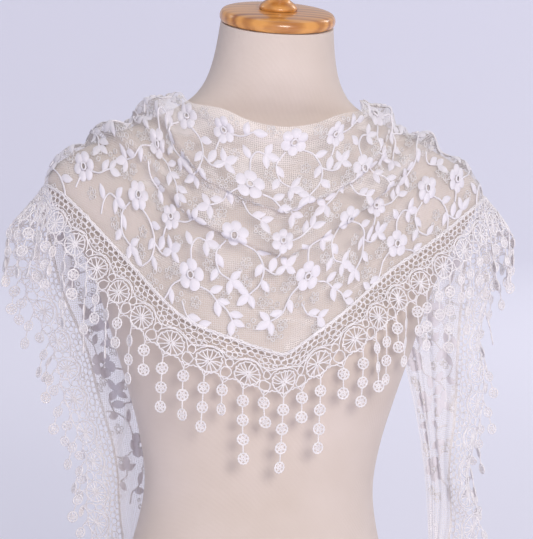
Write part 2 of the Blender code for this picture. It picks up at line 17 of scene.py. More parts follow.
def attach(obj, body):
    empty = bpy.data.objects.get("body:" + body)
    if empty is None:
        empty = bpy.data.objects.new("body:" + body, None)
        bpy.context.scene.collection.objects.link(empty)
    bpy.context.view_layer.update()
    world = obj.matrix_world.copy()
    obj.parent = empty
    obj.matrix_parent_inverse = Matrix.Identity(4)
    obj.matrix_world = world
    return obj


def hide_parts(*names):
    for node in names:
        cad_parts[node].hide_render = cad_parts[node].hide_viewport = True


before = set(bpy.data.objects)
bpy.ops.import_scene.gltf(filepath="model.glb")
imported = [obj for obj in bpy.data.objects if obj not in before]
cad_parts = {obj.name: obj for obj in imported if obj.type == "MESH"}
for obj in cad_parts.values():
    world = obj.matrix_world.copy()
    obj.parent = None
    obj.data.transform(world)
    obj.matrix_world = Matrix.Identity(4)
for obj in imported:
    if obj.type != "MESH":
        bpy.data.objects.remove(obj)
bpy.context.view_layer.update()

MM = 0.001

# The least room between the form and the middle of the cloth
ON_FORM = 1.2

# Dress form
FORM_RINGS = (
    # height, half width, front depth, back depth, middle in depth
    (0, 163, 105, 112, 5),
    (60, 167, 104, 116, 5),
    (110, 165, 100, 114, 5),
    (160, 153, 95, 103, 3),
    (210, 136, 90, 88, 0),
    (260, 121, 85, 75, -2),
    (305, 115, 82, 70, -3),
    (350, 121, 85, 74, -3),
    (400, 135, 93, 84, -2),
    (440, 148, 100, 92, 0),
    (480, 161, 101, 98, 3),
    (520, 176, 96, 100, 5),
    (560, 199, 86, 98, 8),
    (590, 216, 76, 92, 12),
    (606, 218, 70, 86, 14),
    (620, 208, 63, 80, 15),
    (634, 186, 57, 74, 14),
    (648, 158, 53, 69, 12),
    (662, 128, 51, 65, 9),
    (676, 98, 51, 62, 5),
    (690, 78, 54, 60, 0),
    (704, 68, 55, 58, -5),
    (720, 62, 55, 56, -9),
    (740, 58, 54, 54, -13),
    (764, 55, 53, 53, -18),
)
RING_SQUARENESS = 2.3
BUST_HEIGHT = 458
BUST_ASIDE = 66
BUST_REACH = 17
BUST_SPREAD = 52
NECK_TILT = math.radians(12)
NECK_TILT_FROM = 700
FORM_SIDES = 96
FORM_RING_STEP = 7
CAP_PROFILE = (
    # radius, height: the underside's rim, the rounded edge, the crown
    (53.0, 0.0), (56.0, 1.5), (57.0, 5.5), (56.0, 9.5), (52.5, 12.2), (40.0, 13.6), (22.0, 14.2),
)
KNOB_PROFILE = (
    (18.5, 0.0), (19.0, 2.5), (16.5, 5.5), (11.5, 9.0), (9.5, 15.0), (11.5, 21.0), (17.0, 27.0),
    (20.5, 34.0), (20.0, 42.0), (15.5, 49.0), (8.0, 53.0),
)
CAP_GAP = 0.3
TURNED_STEPS = 72

# The halves of the veil: one row for each station from the V to the hanging tip.
# The inner edge lies round the neck and down the back, the outer edge is the leg
# of the V, and the last three say which way the lace border reaches from it.
STATIONS = {
    "right": (
        (0, -76, 664, 3, -119, 446, 0.0, 0.0, -1.0),
        (30, -74, 668, 57, -117, 487, 0.45, 0.0, -0.89),
        (55, -60, 677, 107, -86, 525, 0.56, 0.0, -0.83),
        (82, -30, 681, 160, -55, 556, 0.5, 0.0, -0.86),
        (89, 10, 690, 213, -14, 591, 0.3, 0.0, -0.95),
        (99, 46, 680, 232, 30, 590, 0.35, 0.05, -0.93),
        (106, 82, 646, 226, 68, 545, 0.45, 0.35, -0.8),
        (122, 106, 580, 224, 80, 480, 0.35, 0.55, -0.75),
        (144, 110, 500, 222, 80, 410, 0.35, 0.6, -0.7),
        (168, 110, 420, 220, 78, 340, 0.35, 0.6, -0.7),
        (188, 106, 340, 219, 78, 270, 0.35, 0.6, -0.7),
        (199, 100, 260, 216, 82, 205, 0.35, 0.55, -0.75),
        (206, 92, 146, 208, 91, 144, 0.3, 0.4, -0.85),
    ),
    "left": (
        (0, -76, 664, 3, -119, 446, 0.0, 0.0, -1.0),
        (-32, -74, 669, -40, -118, 459, -0.35, 0.0, -0.93),
        (-55, -60, 679, -96, -104, 481, -0.5, 0.0, -0.86),
        (-82, -30, 683, -150, -62, 534, -0.6, 0.0, -0.8),
        (-89, 10, 692, -206, -18, 590, -0.3, 0.0, -0.95),
        (-99, 46, 681, -226, 28, 590, -0.35, 0.05, -0.93),
        (-102, 84, 646, -216, 66, 548, -0.45, 0.35, -0.8),
        (-104, 108, 580, -196, 86, 480, -0.4, 0.5, -0.75),
        (-98, 112, 500, -166, 92, 410, -0.4, 0.55, -0.7),
        (-90, 108, 420, -146, 92, 340, -0.4, 0.55, -0.7),
        (-94, 104, 340, -132, 90, 270, -0.4, 0.55, -0.7),
        (-104, 98, 260, -124, 88, 205, -0.4, 0.5, -0.75),
        (-116, 92, 146, -118, 91, 144, -0.3, 0.4, -0.85),
    ),
}

# Folds that run from the cowl over the shoulder and down the tail. Places are
# shares of the way from the inner edge to the outer one, sizes are millimetres.
FOLD_STATIONS = (0.0, 2.0, 4.5, 7.0, 12.0)
FOLDS = (
    # places at the five stations, half width, heights at the five stations, droop
    ((0.03, 0.03, 0.04, 0.05, 0.05), 0.04, (7, 7, 5, 4, 0), 5),
    ((0.12, 0.11, 0.10, 0.12, 0.12), 0.03, (3, 5, 5, 3, 0), 8),
    ((0.25, 0.22, 0.18, 0.22, 0.25), 0.07, (15, 14, 15, 9, 0), 27),
    ((0.35, 0.32, 0.33, 0.38, 0.40), 0.03, (2, 5, 6, 4, 0), 7),
    ((0.47, 0.45, 0.50, 0.55, 0.55), 0.07, (12, 11, 14, 10, 0), 23),
    ((0.62, 0.64, 0.74, 0.80, 0.80), 0.07, (5, 6, 7, 8, 0), 6),
)
LAST_STATION = len(STATIONS["right"]) - 1
STATION_STEPS = 100
FREE_FROM = 6.0
EDGE_WAVE = 7.0
EDGE_WAVE_LENGTH = 4 * 33.0

# Lace border
REPEAT = 33.0
LACE_WIDTH = 37.0
LACE_TURN = 30.0
LACE_STEPS = 24
LACE_MADE = LACE_WIDTH + 8
LACE_READ = LACE_WIDTH + 4
CORNER = 35.0
CORNER_ROWS = 12
FINE_ALONG = 4.0
FINE_ACROSS = 96
# The column of the cloth that gives, with its outer edge, the way that the border leaves it
LEAVING_COLUMN = -8
LACE_REPEATS = 24
SCALLOP = ((0, 36.3), (8, 34), (16.5, 37), (25, 34), (33, 36.3))

# Fringe: the number of rosettes on each drop, counted from the V outwards
DROP_ROSETTES = (4, 2, 4, 2, 3, 3, 3, 2, 3, 2, 3, 2)
TAIL_ROSETTES = (2, 1, 2, 2)
ROSETTE = 11.0
ROSETTE_PITCH = 18.5
DROP_START = 7.0
DROP_OFF_FORM = 2.2
STRIP_GAP = 0.75
STRIP_WIDTH = 1.5
DROP_LEAN = 0.12
STEEP_LEAN = 0.7
STEEP_SPREAD = 0.24
CROWDED_FROM = 15.4
CROWDED_LEAN = 0.3
DROP_SWING = 14.0


def smooth(keys, rows, at):
    """A smooth curve through one row of values for each key, read at the places asked for."""
    keys, at = np.asarray(keys, float), np.atleast_1d(np.asarray(at, float))
    rows = np.asarray(rows, float).reshape(len(keys), -1)
    slopes = np.empty_like(rows)
    slopes[1:-1] = (rows[2:] - rows[:-2]) / (keys[2:] - keys[:-2])[:, None]
    slopes[0] = (rows[1] - rows[0]) / (keys[1] - keys[0])
    slopes[-1] = (rows[-1] - rows[-2]) / (keys[-1] - keys[-2])
    low = np.clip(np.searchsorted(keys, at, side="right") - 1, 0, len(keys) - 2)
    span = keys[low + 1] - keys[low]
    t = ((at - keys[low]) / span)[:, None]
    span = span[:, None]
    return (
        (2 * t**3 - 3 * t**2 + 1) * rows[low]
        + (t**3 - 2 * t**2 + t) * span * slopes[low]
        + (3 * t**2 - 2 * t**3) * rows[low + 1]
        + (t**3 - t**2) * span * slopes[low + 1]
    )


def form_ring(height, sides):
    """The points of one horizontal ring of the dress form, counted from +X towards +Y."""
    rings = np.array(FORM_RINGS, float)
    half_width, front, back, middle = smooth(rings[:, 0], rings[:, 1:], height)[0]
    angle = 2 * math.pi * np.arange(sides) / sides
    power = 2 / RING_SQUARENESS
    across = np.sign(np.cos(angle)) * np.abs(np.cos(angle)) ** power
    deep = np.sign(np.sin(angle)) * np.abs(np.sin(angle)) ** power
    x = half_width * across
    y = np.where(deep > 0, back, front) * deep
    rise = math.exp(-(((height - BUST_HEIGHT) / BUST_SPREAD) ** 2))
    cups = sum(np.exp(-(((x - side * BUST_ASIDE) / BUST_SPREAD) ** 2)) for side in (-1, 1))
    y -= BUST_REACH * rise * cups * np.clip(-2 * deep, 0, 1)
    top = FORM_RINGS[-1][0]
    share = np.clip((height - NECK_TILT_FROM) / (top - NECK_TILT_FROM), 0, 1)
    z = height + y * math.tan(NECK_TILT) * share
    return np.stack([x, y + middle, z], axis=1)


def fine_heights():
    """Every ring of the form, and rings between them, so that it looks smooth."""
    tops = [row[0] for row in FORM_RINGS]
    return np.unique(np.concatenate([np.arange(0, tops[-1], FORM_RING_STEP), tops]))


def form_rings():
    """The form's points, ring upon ring, and the faces between the rings."""
    points = np.concatenate([form_ring(height, FORM_SIDES) for height in fine_heights()])
    faces = []
    for lower in range(0, len(points) - FORM_SIDES, FORM_SIDES):
        for k in range(FORM_SIDES):
            after = (k + 1) % FORM_SIDES
            faces.append((lower + k, lower + after, lower + FORM_SIDES + after, lower + FORM_SIDES + k))
    return points, faces


def form_skin():
    """The form's smooth surface, which the cloth is laid against."""
    points, faces = form_rings()
    return BVHTree.FromPolygons([Vector(p) for p in points], faces)


def clear_of(skin, points, gap, softness=1.5):
    """The points again, moved out where they lie in the form or nearer to it than the gap."""
    flat = points.reshape(-1, 3)
    out = flat.copy()
    for i, p in enumerate(flat):
        place, normal, _, _ = skin.find_nearest(Vector(p))
        place, normal = np.array(place), np.array(normal)
        above = float((p - place) @ normal)
        if above > gap + 6 * softness or np.linalg.norm(p - place) > 40 + gap and above > 0:
            continue
        lifted = gap + 0.5 * ((above - gap) + math.hypot(above - gap, softness))
        out[i] = p + normal * (lifted - above)
    return out.reshape(points.shape)


def unit(vectors):
    return vectors / np.maximum(np.linalg.norm(vectors, axis=-1, keepdims=True), 1e-9)


def squared(ways, along, share):
    """Directions turned square to the edge that they leave, by a share."""
    lean = np.sum(ways * along, axis=-1) * share
    return unit(ways - along * lean[..., None])


def lengths_along(points):
    """The distance along a row of points, from the first one."""
    steps = np.linalg.norm(np.diff(points, axis=0), axis=1)
    return np.concatenate([[0], np.cumsum(steps)])


def normals_of(grid, outward):
    along = np.gradient(grid, axis=0)
    across = np.gradient(grid, axis=1)
    return unit(np.cross(across, along)) * outward


def blurred(grid, times):
    """Evens out a grid of points along its length, with the ends kept."""
    for _ in range(times):
        inner = (grid[:-2] + 2 * grid[1:-1] + grid[2:]) / 4
        grid = np.concatenate([grid[:1], inner, grid[-1:]])
    return grid


def places_along(line, at, want):
    """Places on a line at the distances wanted, by straight steps between its points."""
    return np.stack([np.interp(want, at, line[:, k]) for k in range(line.shape[1])], axis=-1)


def respaced(row, count):
    """A row of points again, evenly spaced along its own length."""
    at = lengths_along(row)
    return places_along(row, at, np.linspace(0, at[-1], count))


class Veil:
    """The veil's middle surface: the cloth by distance along its outer edge and share across,
    and the lace border by distance along the same edge and distance from it.
    Distances along are negative on the left half."""

    def __init__(self, skin):
        stations, kinds = self.both_halves()
        steps = 2 * LAST_STATION * STATION_STEPS + 1
        edge = self.edge_curve(stations, np.linspace(-LAST_STATION, LAST_STATION, steps))
        self.reach = {s: self.half_length(edge, s) for s in (-1, 1)}
        rows = int(LACE_REPEATS * REPEAT / FINE_ALONG)
        self.run = np.arange(-rows, rows + 1) * FINE_ALONG
        station = self.station_of(edge, self.run)
        inner = smooth(kinds, stations[:, 0:3], station)
        outer = self.edge_curve(stations, station)
        lace_way = unit(smooth(kinds, stations[:, 6:9], station))
        self.cloth, self.cloth_normal = self.lay_cloth(skin, inner, outer, np.abs(station))
        self.lace, self.lace_normal = self.lay_lace(skin, lace_way, np.abs(station))
        self.depth = np.array([lengths_along(row)[-1] for row in self.cloth])

    @staticmethod
    def both_halves():
        rows = STATIONS["left"][::-1] + STATIONS["right"][1:]
        return np.array(rows, float), np.arange(-LAST_STATION, LAST_STATION + 1)

    @staticmethod
    def edge_curve(stations, at):
        """The outer edge, which keeps its corner at the V."""
        keys = np.arange(0, LAST_STATION + 1)
        left = smooth(keys, stations[LAST_STATION::-1, 3:6], np.abs(at))
        right = smooth(keys, stations[LAST_STATION:, 3:6], np.abs(at))
        return np.where((at < 0)[:, None], left, right)

    @staticmethod
    def half_length(edge, side):
        middle = LAST_STATION * STATION_STEPS
        return lengths_along(edge[middle:] if side > 0 else edge[middle::-1])

    def station_of(self, edge, run):
        keys = np.linspace(0, LAST_STATION, LAST_STATION * STATION_STEPS + 1)
        found = [
            math.copysign(np.interp(abs(s), self.reach[1 if s > 0 else -1] * self.slack(s), keys), s)
            for s in run
        ]
        return np.array(found)

    def slack(self, s):
        """How much longer the waved edge is cut than the line that it hangs along."""
        whole = LACE_REPEATS * REPEAT
        return whole / self.reach[1 if s > 0 else -1][-1]

    def lay_cloth(self, skin, inner, outer, station):
        share = np.linspace(0, 1, FINE_ACROSS + 1)[None, :, None]
        grid = inner[:, None] + (outer - inner)[:, None] * share
        grid = clear_of(skin, grid, ON_FORM, 3.0)
        grid = blurred(grid, 2)
        normal = normals_of(grid, 1)
        down = unit(np.gradient(grid, axis=1))
        lift, slide = self.fold_sizes(station, share[0, :, 0])
        grid = grid + normal * lift[..., None] + down * slide[..., None]
        grid += normal * self.edge_wave(station)[:, None, None] * share**2
        grid = blurred(grid, 2)
        grid = clear_of(skin, grid, ON_FORM)
        grid = np.stack([respaced(row, FINE_ACROSS + 1) for row in grid])
        return grid, normals_of(grid, 1)

    @staticmethod
    def fold_sizes(station, share):
        """How far each point of the cloth stands out in a fold, and how far it droops."""
        lift = np.zeros((len(station), len(share)))
        slide = np.zeros_like(lift)
        for places, half_width, heights, droop in FOLDS:
            place = smooth(FOLD_STATIONS, places, station)
            height = np.maximum(smooth(FOLD_STATIONS, heights, station), 0)
            bump = np.exp(-(((share[None] - place) / half_width) ** 2))
            lift += height * bump
            in_cowl = np.clip(3 - station, 0, 1)[:, None]
            slide += droop * bump * np.clip(height / max(heights), 0, 1) * in_cowl
        ends = np.clip(share / 0.05, 0, 1) * np.clip((1 - share) / 0.12, 0, 1)
        return lift * np.clip((1 - share) / 0.12, 0, 1), slide * ends

    def edge_wave(self, station):
        ramp = np.clip((station - FREE_FROM) / 2, 0, 1) * np.clip((LAST_STATION - station) / 1.5, 0, 1)
        return EDGE_WAVE * ramp * np.sin(2 * math.pi * np.abs(self.run) / EDGE_WAVE_LENGTH)

    def lay_lace(self, skin, lace_way, station):
        """The border leaves the cloth in the cloth's own direction and turns into its own."""
        edge = self.cloth[:, -1]
        along = unit(np.gradient(edge, axis=0))
        square = np.clip((np.abs(self.run) - CORNER) / CORNER, 0, 1)
        cloth_way = squared(edge - self.cloth[:, LEAVING_COLUMN], along, square)
        lace_way = squared(lace_way, along, square)
        side = unit(np.cross(along, lace_way))
        step = LACE_MADE / LACE_STEPS
        points = [edge]
        for k in range(LACE_STEPS):
            turn = min((k + 0.5) * step / LACE_TURN, 1)
            way = unit(cloth_way * (1 - turn) + lace_way * turn)
            points.append(points[-1] + way * step)
        grid = np.stack(points, axis=1)
        away = np.arange(LACE_STEPS + 1)[None, :, None] * step
        wave = self.edge_wave(station)[:, None, None]
        grid = grid + side[:, None] * wave * (away / LACE_WIDTH) * 0.8
        middle = len(grid) // 2
        near = slice(middle - CORNER_ROWS, middle + CORNER_ROWS + 1)
        grid[near, 1:] = blurred(grid[near, 1:], 8)
        grid = clear_of(skin, grid, ON_FORM)
        grid[:, 0] = edge
        want = np.linspace(0, LACE_READ, FINE_ACROSS + 1)
        grid = np.stack([places_along(row, lengths_along(row), want) for row in grid])
        return grid, normals_of(grid, 1)

    def read(self, grid, run, across):
        """Points of a grid at a distance along and a share across, by straight steps between its own."""
        i = np.clip((np.asarray(run, float) - self.run[0]) / FINE_ALONG, 0, len(self.run) - 1.001)
        j = np.clip(np.asarray(across, float) * FINE_ACROSS, 0, FINE_ACROSS - 0.001)
        i0, j0 = i.astype(int), j.astype(int)
        u, v = (i - i0)[..., None], (j - j0)[..., None]
        return (
            grid[i0, j0] * (1 - u) * (1 - v)
            + grid[i0 + 1, j0] * u * (1 - v)
            + grid[i0, j0 + 1] * (1 - u) * v
            + grid[i0 + 1, j0 + 1] * u * v
        )

    def on_cloth(self, run, share, lift=0.0):
        point = self.read(self.cloth, run, share)
        return point + unit(self.read(self.cloth_normal, run, share)) * np.asarray(lift)[..., None]

    def on_lace(self, run, away, lift=0.0):
        share = np.asarray(away, float) / LACE_READ
        point = self.read(self.lace, run, share)
        return point + unit(self.read(self.lace_normal, run, share)) * np.asarray(lift)[..., None]


def scallop_at(s):
    along, away = np.array(SCALLOP).T
    return float(np.interp(s % REPEAT, along, away))


def drop_rosettes(index):
    """How many rosettes hang on a drop, by its number from the V."""
    index = abs(index)
    if index < len(DROP_ROSETTES) * 2:
        return DROP_ROSETTES[index % len(DROP_ROSETTES)]
    return TAIL_ROSETTES[index % len(TAIL_ROSETTES)]


def drop_path(veil, skin, run, index, distances):
    """Places down a drop and the way that it faces. From a steep edge it swings out, then hangs,
    and every second drop leans out where the edge is bunched and its neighbours are close."""
    away = scallop_at(run) + STRIP_GAP + STRIP_WIDTH
    root = veil.on_lace(run, away)
    edge_way = unit(veil.on_lace(run + 3, away) - veil.on_lace(run - 3, away))
    lace_way = unit(root - veil.on_lace(run, away - 6))
    facing = unit(np.cross(lace_way, edge_way))
    steep = edge_way[2] ** 2
    steep = steep * steep * (3 - 2 * steep)
    down = np.array([0.0, 0.0, -1.0])
    spread = STEEP_SPREAD * steep * (1 if index % 2 else -1)
    swing = np.exp(-np.asarray(distances) / DROP_SWING)[:, None]
    lean = lace_way * (DROP_LEAN + STEEP_LEAN * steep) * swing + facing * spread
    if index % 2:
        beside = [veil.on_lace(run + step, away) - root for step in (-REPEAT / 2, REPEAT / 2)]
        nearest = min(float(np.linalg.norm(step)) for step in beside)
        crowded = np.clip((CROWDED_FROM - nearest) / (CROWDED_FROM - ROSETTE), 0, 1)
        lean = lean + unit(lace_way * (1, 1, 0)) * CROWDED_LEAN * crowded
    ways = unit(down + lean)
    steps = np.diff(distances, prepend=0.0)[:, None]
    points = root + np.cumsum(ways * steps, axis=0)
    points = clear_of(skin, points, DROP_OFF_FORM)
    points[0] = root
    way = ways[-1]
    across = edge_way * (1 - steep) + lace_way * steep
    return points, across - way * float(across @ way)


# The cut, as it lies flat: x runs along the inner edge from its middle, y from that edge to the point
LEG = LACE_REPEATS * REPEAT
CLOTH_END = LEG - REPEAT
CUT_DEPTH = 235.0
CUT_HALF = math.sqrt(LEG**2 - CUT_DEPTH**2)
NET_LIFT = 0.2
HALVINGS = 26

# Camera and stage
CAMERA_TURN = -9.0
CAMERA_RISE = 5.0
CAMERA_ROLL = 2.0
CAMERA_FAR = 2.2
CAMERA_AIM = (0.0008, 0.0, 0.520)
CAMERA_SENSOR = 36
PHOTO_LONG_SIDE = 539
PIXELS_A_METRE = 1000

# Embroidery: one tile of stems, flowers and eyelets, repeated over the cloth
TILE = (118.0, 104.0)
TILE_STEP = 0.5
STEMS = (
    # places that the stem passes, from its root to its tip, where its leaves sit, and leaves at its tip
    (((19, 25), (31, 33), (38, 48), (35, 63), (25, 73)), (0.22, 0.45, 0.7), 3),
    (((38, 48), (50, 54), (60, 48)), (0.5,), 3),
    (((85, 49), (86, 37), (92, 29), (100, 30)), (0.4,), 3),
    (((75, 68), (65, 76), (57, 90), (45, 97)), (0.3, 0.62), 3),
    (((66, 20), (77, 18), (88, 11)), (0.5,), 2),
    (((96, 70), (105, 73), (112, 80)), (0.45,), 2),
    (((2, 26), (-7, 38), (-4, 54), (7, 61)), (0.3, 0.6), 3),
    (((54, 28), (50, 38)), (), 1),
    (((78, 86), (84, 97), (95, 103)), (0.5,), 2),
    (((-4, 82), (4, 88), (9, 97)), (0.5,), 2),
)
LEAF = (14.8, 7.6)
TIP_LEAVES = {
    # turn from the stem's own way, and size
    1: ((0.0, 1.08),),
    2: ((0.55, 1.0), (-0.7, 0.9)),
    3: ((0.0, 1.08), (1.2, 0.92), (-1.2, 0.92)),
}
FLOWERS = (
    # middle in the tile, radius, turn in degrees, petals
    (11, 16, 13.8, 10, 6), (85, 62, 14.0, 40, 5), (57, 19, 12.3, 5, 6),
)
EYELETS = (
    # middle of a rosette of stitched rings
    (60, 67), (68, 61), (103, 50), (110, 56), (22, 44), (106, 6), (92, 84), (38, 80), (34, 8),
    (41, 14), (3, 76), (70, 37), (57, 101), (23, 62), (106, 38),
)
LONE_RINGS = (
    # middle of three stitched rings that stand apart
    (17, 56), (76, 84), (28, 100), (70, 5), (44, 68), (112, 4), (48, 82),
)
STEM_STEP = 3.0
STEM_LIFT = 0.5
STEM_RADIUS = 0.95
BACK_FLATTER = 0.3
# A petal's half width and its flower's ring, as shares of the flower's radius
PETAL_WIDTHS = {5: 0.48, 6: 0.42}
FLOWER_RING = 0.23
# A stitched ring's thread, and how far it stands on the net
EYELET_THREAD = 0.5
EYELET_LIFT = 0.3


def linear(colour):
    """sRGB hex digits to the linear colour that a shader takes."""
    parts = [int(colour[k:k + 2], 16) / 255 for k in (0, 2, 4)]
    return tuple(c / 12.92 if c <= 0.04045 else ((c + 0.055) / 1.055) ** 2.4 for c in parts) + (1.0,)


def new_material(name):
    material = bpy.data.materials.new(name)
    material.use_nodes = True
    return material, material.node_tree, material.node_tree.nodes["Principled BSDF"]


# A mix node's colour sockets, by number
COLOUR_A, COLOUR_B, MIXED = 6, 7, 2


def add_node(tree, kind, settings=None, links=None):
    """Adds a node, sets its properties and sockets by name, and links its inputs."""
    node = tree.nodes.new(kind)
    for key, value in (settings or {}).items():
        if isinstance(key, int) or key in node.inputs:
            node.inputs[key].default_value = value
        else:
            setattr(node, key, value)
    for key, source in (links or {}).items():
        tree.links.new(source, node.inputs[key])
    return node


def wire_shader(tree, shader, links, values):
    """Links the shader's inputs by name and sets its other values."""
    for name, source in links.items():
        tree.links.new(source, shader.inputs[name])
    for name, value in values.items():
        shader.inputs[name].default_value = value


def stretched_jersey():
    """Cotton jersey pulled over a padded torso: matte, close-knit, with faint blotches of wear."""
    material, tree, shader = new_material("stretched_cotton_jersey")
    place = add_node(tree, "ShaderNodeTexCoord").outputs["Object"]
    cloud = add_node(tree, "ShaderNodeTexNoise", {"Scale": 9.0, "Detail": 3.0}, {"Vector": place})
    patch = add_node(tree, "ShaderNodeMapRange", {"From Min": 0.3, "From Max": 0.7},
                     {"Value": cloud.outputs["Fac"]})
    shade = add_node(tree, "ShaderNodeMix", {"data_type": "RGBA", COLOUR_A: linear("CDBFB3"),
                                             COLOUR_B: linear("D8CBC2")}, {0: patch.outputs["Result"]})
    # Knit ribs about 3 mm apart, coarser than real jersey, so that they show
    knit = add_node(tree, "ShaderNodeTexWave", {"Scale": 120.0, "Distortion": 1.5, "Detail": 1.0,
                                                "wave_type": "BANDS", "bands_direction": "DIAGONAL"},
                    {"Vector": place})
    grain = add_node(tree, "ShaderNodeTexNoise", {"Scale": 900.0, "Detail": 2.0}, {"Vector": place})
    both = add_node(tree, "ShaderNodeMath", {"operation": "MULTIPLY"},
                    {0: knit.outputs["Fac"], 1: grain.outputs["Fac"]})
    bump = add_node(tree, "ShaderNodeBump", {"Strength": 0.25, "Distance": 0.0004},
                    {"Height": both.outputs[0]})
    wire_shader(tree, shader, {"Base Color": shade.outputs[MIXED], "Normal": bump.outputs["Normal"]},
                {"Roughness": 0.88, "Sheen Weight": 0.15})
    return material


def varnished_beech():
    """Turned beech under honey varnish: long rings of grain, a clear glossy coat."""
    material, tree, shader = new_material("varnished_beech")
    place = add_node(tree, "ShaderNodeTexCoord").outputs["Object"]
    # Growth rings about 10 mm apart, wider than beech's, so that they show
    turned = add_node(tree, "ShaderNodeMapping",
                      {"Rotation": (0.2, 0.1, 0.4), "Scale": (6.0, 60.0, 60.0)}, {"Vector": place})
    warp = add_node(tree, "ShaderNodeTexNoise", {"Scale": 1.2, "Detail": 5.0, "Distortion": 0.8},
                    {"Vector": turned.outputs["Vector"]})
    rings = add_node(tree, "ShaderNodeTexWave", {"Scale": 0.5, "Distortion": 5.0, "Detail": 3.0,
                                                 "bands_direction": "Y"},
                     {"Vector": turned.outputs["Vector"]})
    mixed = add_node(tree, "ShaderNodeMath", {"operation": "MULTIPLY_ADD", 1: 0.45},
                     {0: rings.outputs["Fac"], 2: warp.outputs["Fac"]})
    band = add_node(tree, "ShaderNodeMapRange", {"From Min": 0.25, "From Max": 0.85},
                    {"Value": mixed.outputs[0]})
    shade = add_node(tree, "ShaderNodeMix", {"data_type": "RGBA", COLOUR_A: linear("99571F"),
                                             COLOUR_B: linear("DC9C50")}, {0: band.outputs["Result"]})
    fine = add_node(tree, "ShaderNodeBump", {"Strength": 0.12, "Distance": 0.0003},
                    {"Height": mixed.outputs[0]})
    wire_shader(tree, shader, {"Base Color": shade.outputs[MIXED], "Normal": fine.outputs["Normal"]},
                {"Roughness": 0.32, "Coat Weight": 0.6, "Coat Roughness": 0.12})
    return material


def cotton_thread(name, low, high, roughness, twist_mm):
    """Twisted thread: matte with a little sheen, and plies that break up its light."""
    material, tree, shader = new_material(name)
    place = add_node(tree, "ShaderNodeTexCoord").outputs["Object"]
    cloud = add_node(tree, "ShaderNodeTexNoise", {"Scale": 140.0, "Detail": 2.0}, {"Vector": place})
    patch = add_node(tree, "ShaderNodeMapRange", {"From Min": 0.3, "From Max": 0.7},
                     {"Value": cloud.outputs["Fac"]})
    shade = add_node(tree, "ShaderNodeMix", {"data_type": "RGBA", COLOUR_A: linear(low),
                                             COLOUR_B: linear(high)}, {0: patch.outputs["Result"]})
    # Plies as long as the twist, coarser than real thread's, so that they show
    ply = add_node(tree, "ShaderNodeTexVoronoi", {"Scale": 1000.0 / twist_mm, "Randomness": 0.8},
                   {"Vector": place})
    bump = add_node(tree, "ShaderNodeBump", {"Strength": 0.4, "Distance": 0.0003},
                    {"Height": ply.outputs["Distance"]})
    wire_shader(tree, shader, {"Base Color": shade.outputs[MIXED], "Normal": bump.outputs["Normal"]},
                {"Roughness": roughness, "Sheen Weight": 0.25})
    return material


def satin_stitch():
    """Rayon satin stitch: bright, with threads laid across each leaf and petal."""
    material, tree, shader = new_material("rayon_satin_stitch")
    stitch = add_node(tree, "ShaderNodeUVMap", {"uv_map": "stitch"}).outputs["UV"]
    # Threads 0.7 mm apart, a little coarser than real stitches, so that they show
    rows = add_node(tree, "ShaderNodeTexWave", {"Scale": 0.45, "Distortion": 0.6, "Detail": 1.0,
                                                "bands_direction": "X"}, {"Vector": stitch})
    shade = add_node(tree, "ShaderNodeMix", {"data_type": "RGBA", COLOUR_A: linear("DDD9E0"),
                                             COLOUR_B: linear("F0ECF1")}, {0: rows.outputs["Fac"]})
    bump = add_node(tree, "ShaderNodeBump", {"Strength": 0.35, "Distance": 0.0003},
                    {"Height": rows.outputs["Fac"]})
    wire_shader(tree, shader, {"Base Color": shade.outputs[MIXED], "Normal": bump.outputs["Normal"]},
                {"Roughness": 0.5, "Sheen Weight": 0.3})
    return material


def fine_tulle():
    """Nylon tulle: a net of cells 1.9 mm wide, mostly holes, denser in soft bands where it bunches, with
    those bands painted whiter as painted highlight on its folds.
    """
    material, tree, shader = new_material("fine_nylon_tulle")
    layout = add_node(tree, "ShaderNodeUVMap", {"uv_map": "flat"}).outputs["UV"]
    # Cells a little wider than real tulle's, so that they show
    cells = add_node(tree, "ShaderNodeTexVoronoi",
                     {"feature": "DISTANCE_TO_EDGE", "Scale": 1000 / 1.9, "Randomness": 0.35,
                      "voronoi_dimensions": "2D"}, {"Vector": layout})
    thread = add_node(tree, "ShaderNodeMapRange",
                      {"From Min": 0.05, "From Max": 0.13, "To Min": 0.85, "To Max": 0.08},
                      {"Value": cells.outputs["Distance"]})
    # Bands some 80 mm long and 28 mm wide, which run along the folds: more cover where the tulle lies in
    # layers, and painted highlight on the folds in the colour below
    drawn = add_node(tree, "ShaderNodeMapping", {"Scale": (12.0, 36.0, 1.0)}, {"Vector": layout})
    fold_cover_and_highlight = add_node(tree, "ShaderNodeTexNoise", {"Scale": 1.0, "Detail": 3.0, "Distortion": 1.2},
                     {"Vector": drawn.outputs["Vector"]})
    # The cowl lies in more layers near the middle of the neck, within 320 mm along and 130 mm down
    near = add_node(tree, "ShaderNodeMapping", {"Scale": (3.1, 7.7, 1.0)}, {"Vector": layout})
    cowl = add_node(tree, "ShaderNodeTexGradient", {"gradient_type": "SPHERICAL"},
                    {"Vector": near.outputs["Vector"]})
    layers = add_node(tree, "ShaderNodeMath", {"operation": "MULTIPLY_ADD", 1: 0.24},
                      {0: cowl.outputs["Fac"], 2: fold_cover_and_highlight.outputs["Fac"]})
    band = add_node(tree, "ShaderNodeMapRange",
                    {"From Min": 0.5, "From Max": 0.75, "To Min": 0.0, "To Max": 0.5},
                    {"Value": layers.outputs[0]})
    cover = add_node(tree, "ShaderNodeMath", {"operation": "MAXIMUM"},
                     {0: thread.outputs["Result"], 1: band.outputs["Result"]})
    # The colour is painted whiter in the same bands: painted highlight for the light caught on the folds,
    # not the net's own colour
    shade = add_node(tree, "ShaderNodeMix", {"data_type": "RGBA", COLOUR_A: linear("EFE8E4"),
                                             COLOUR_B: linear("FAF5F2")}, {0: fold_cover_and_highlight.outputs["Fac"]})
    wire_shader(tree, shader, {"Base Color": shade.outputs[MIXED], "Alpha": cover.outputs[0]},
                {"Roughness": 0.6, "Sheen Weight": 0.2})
    return material


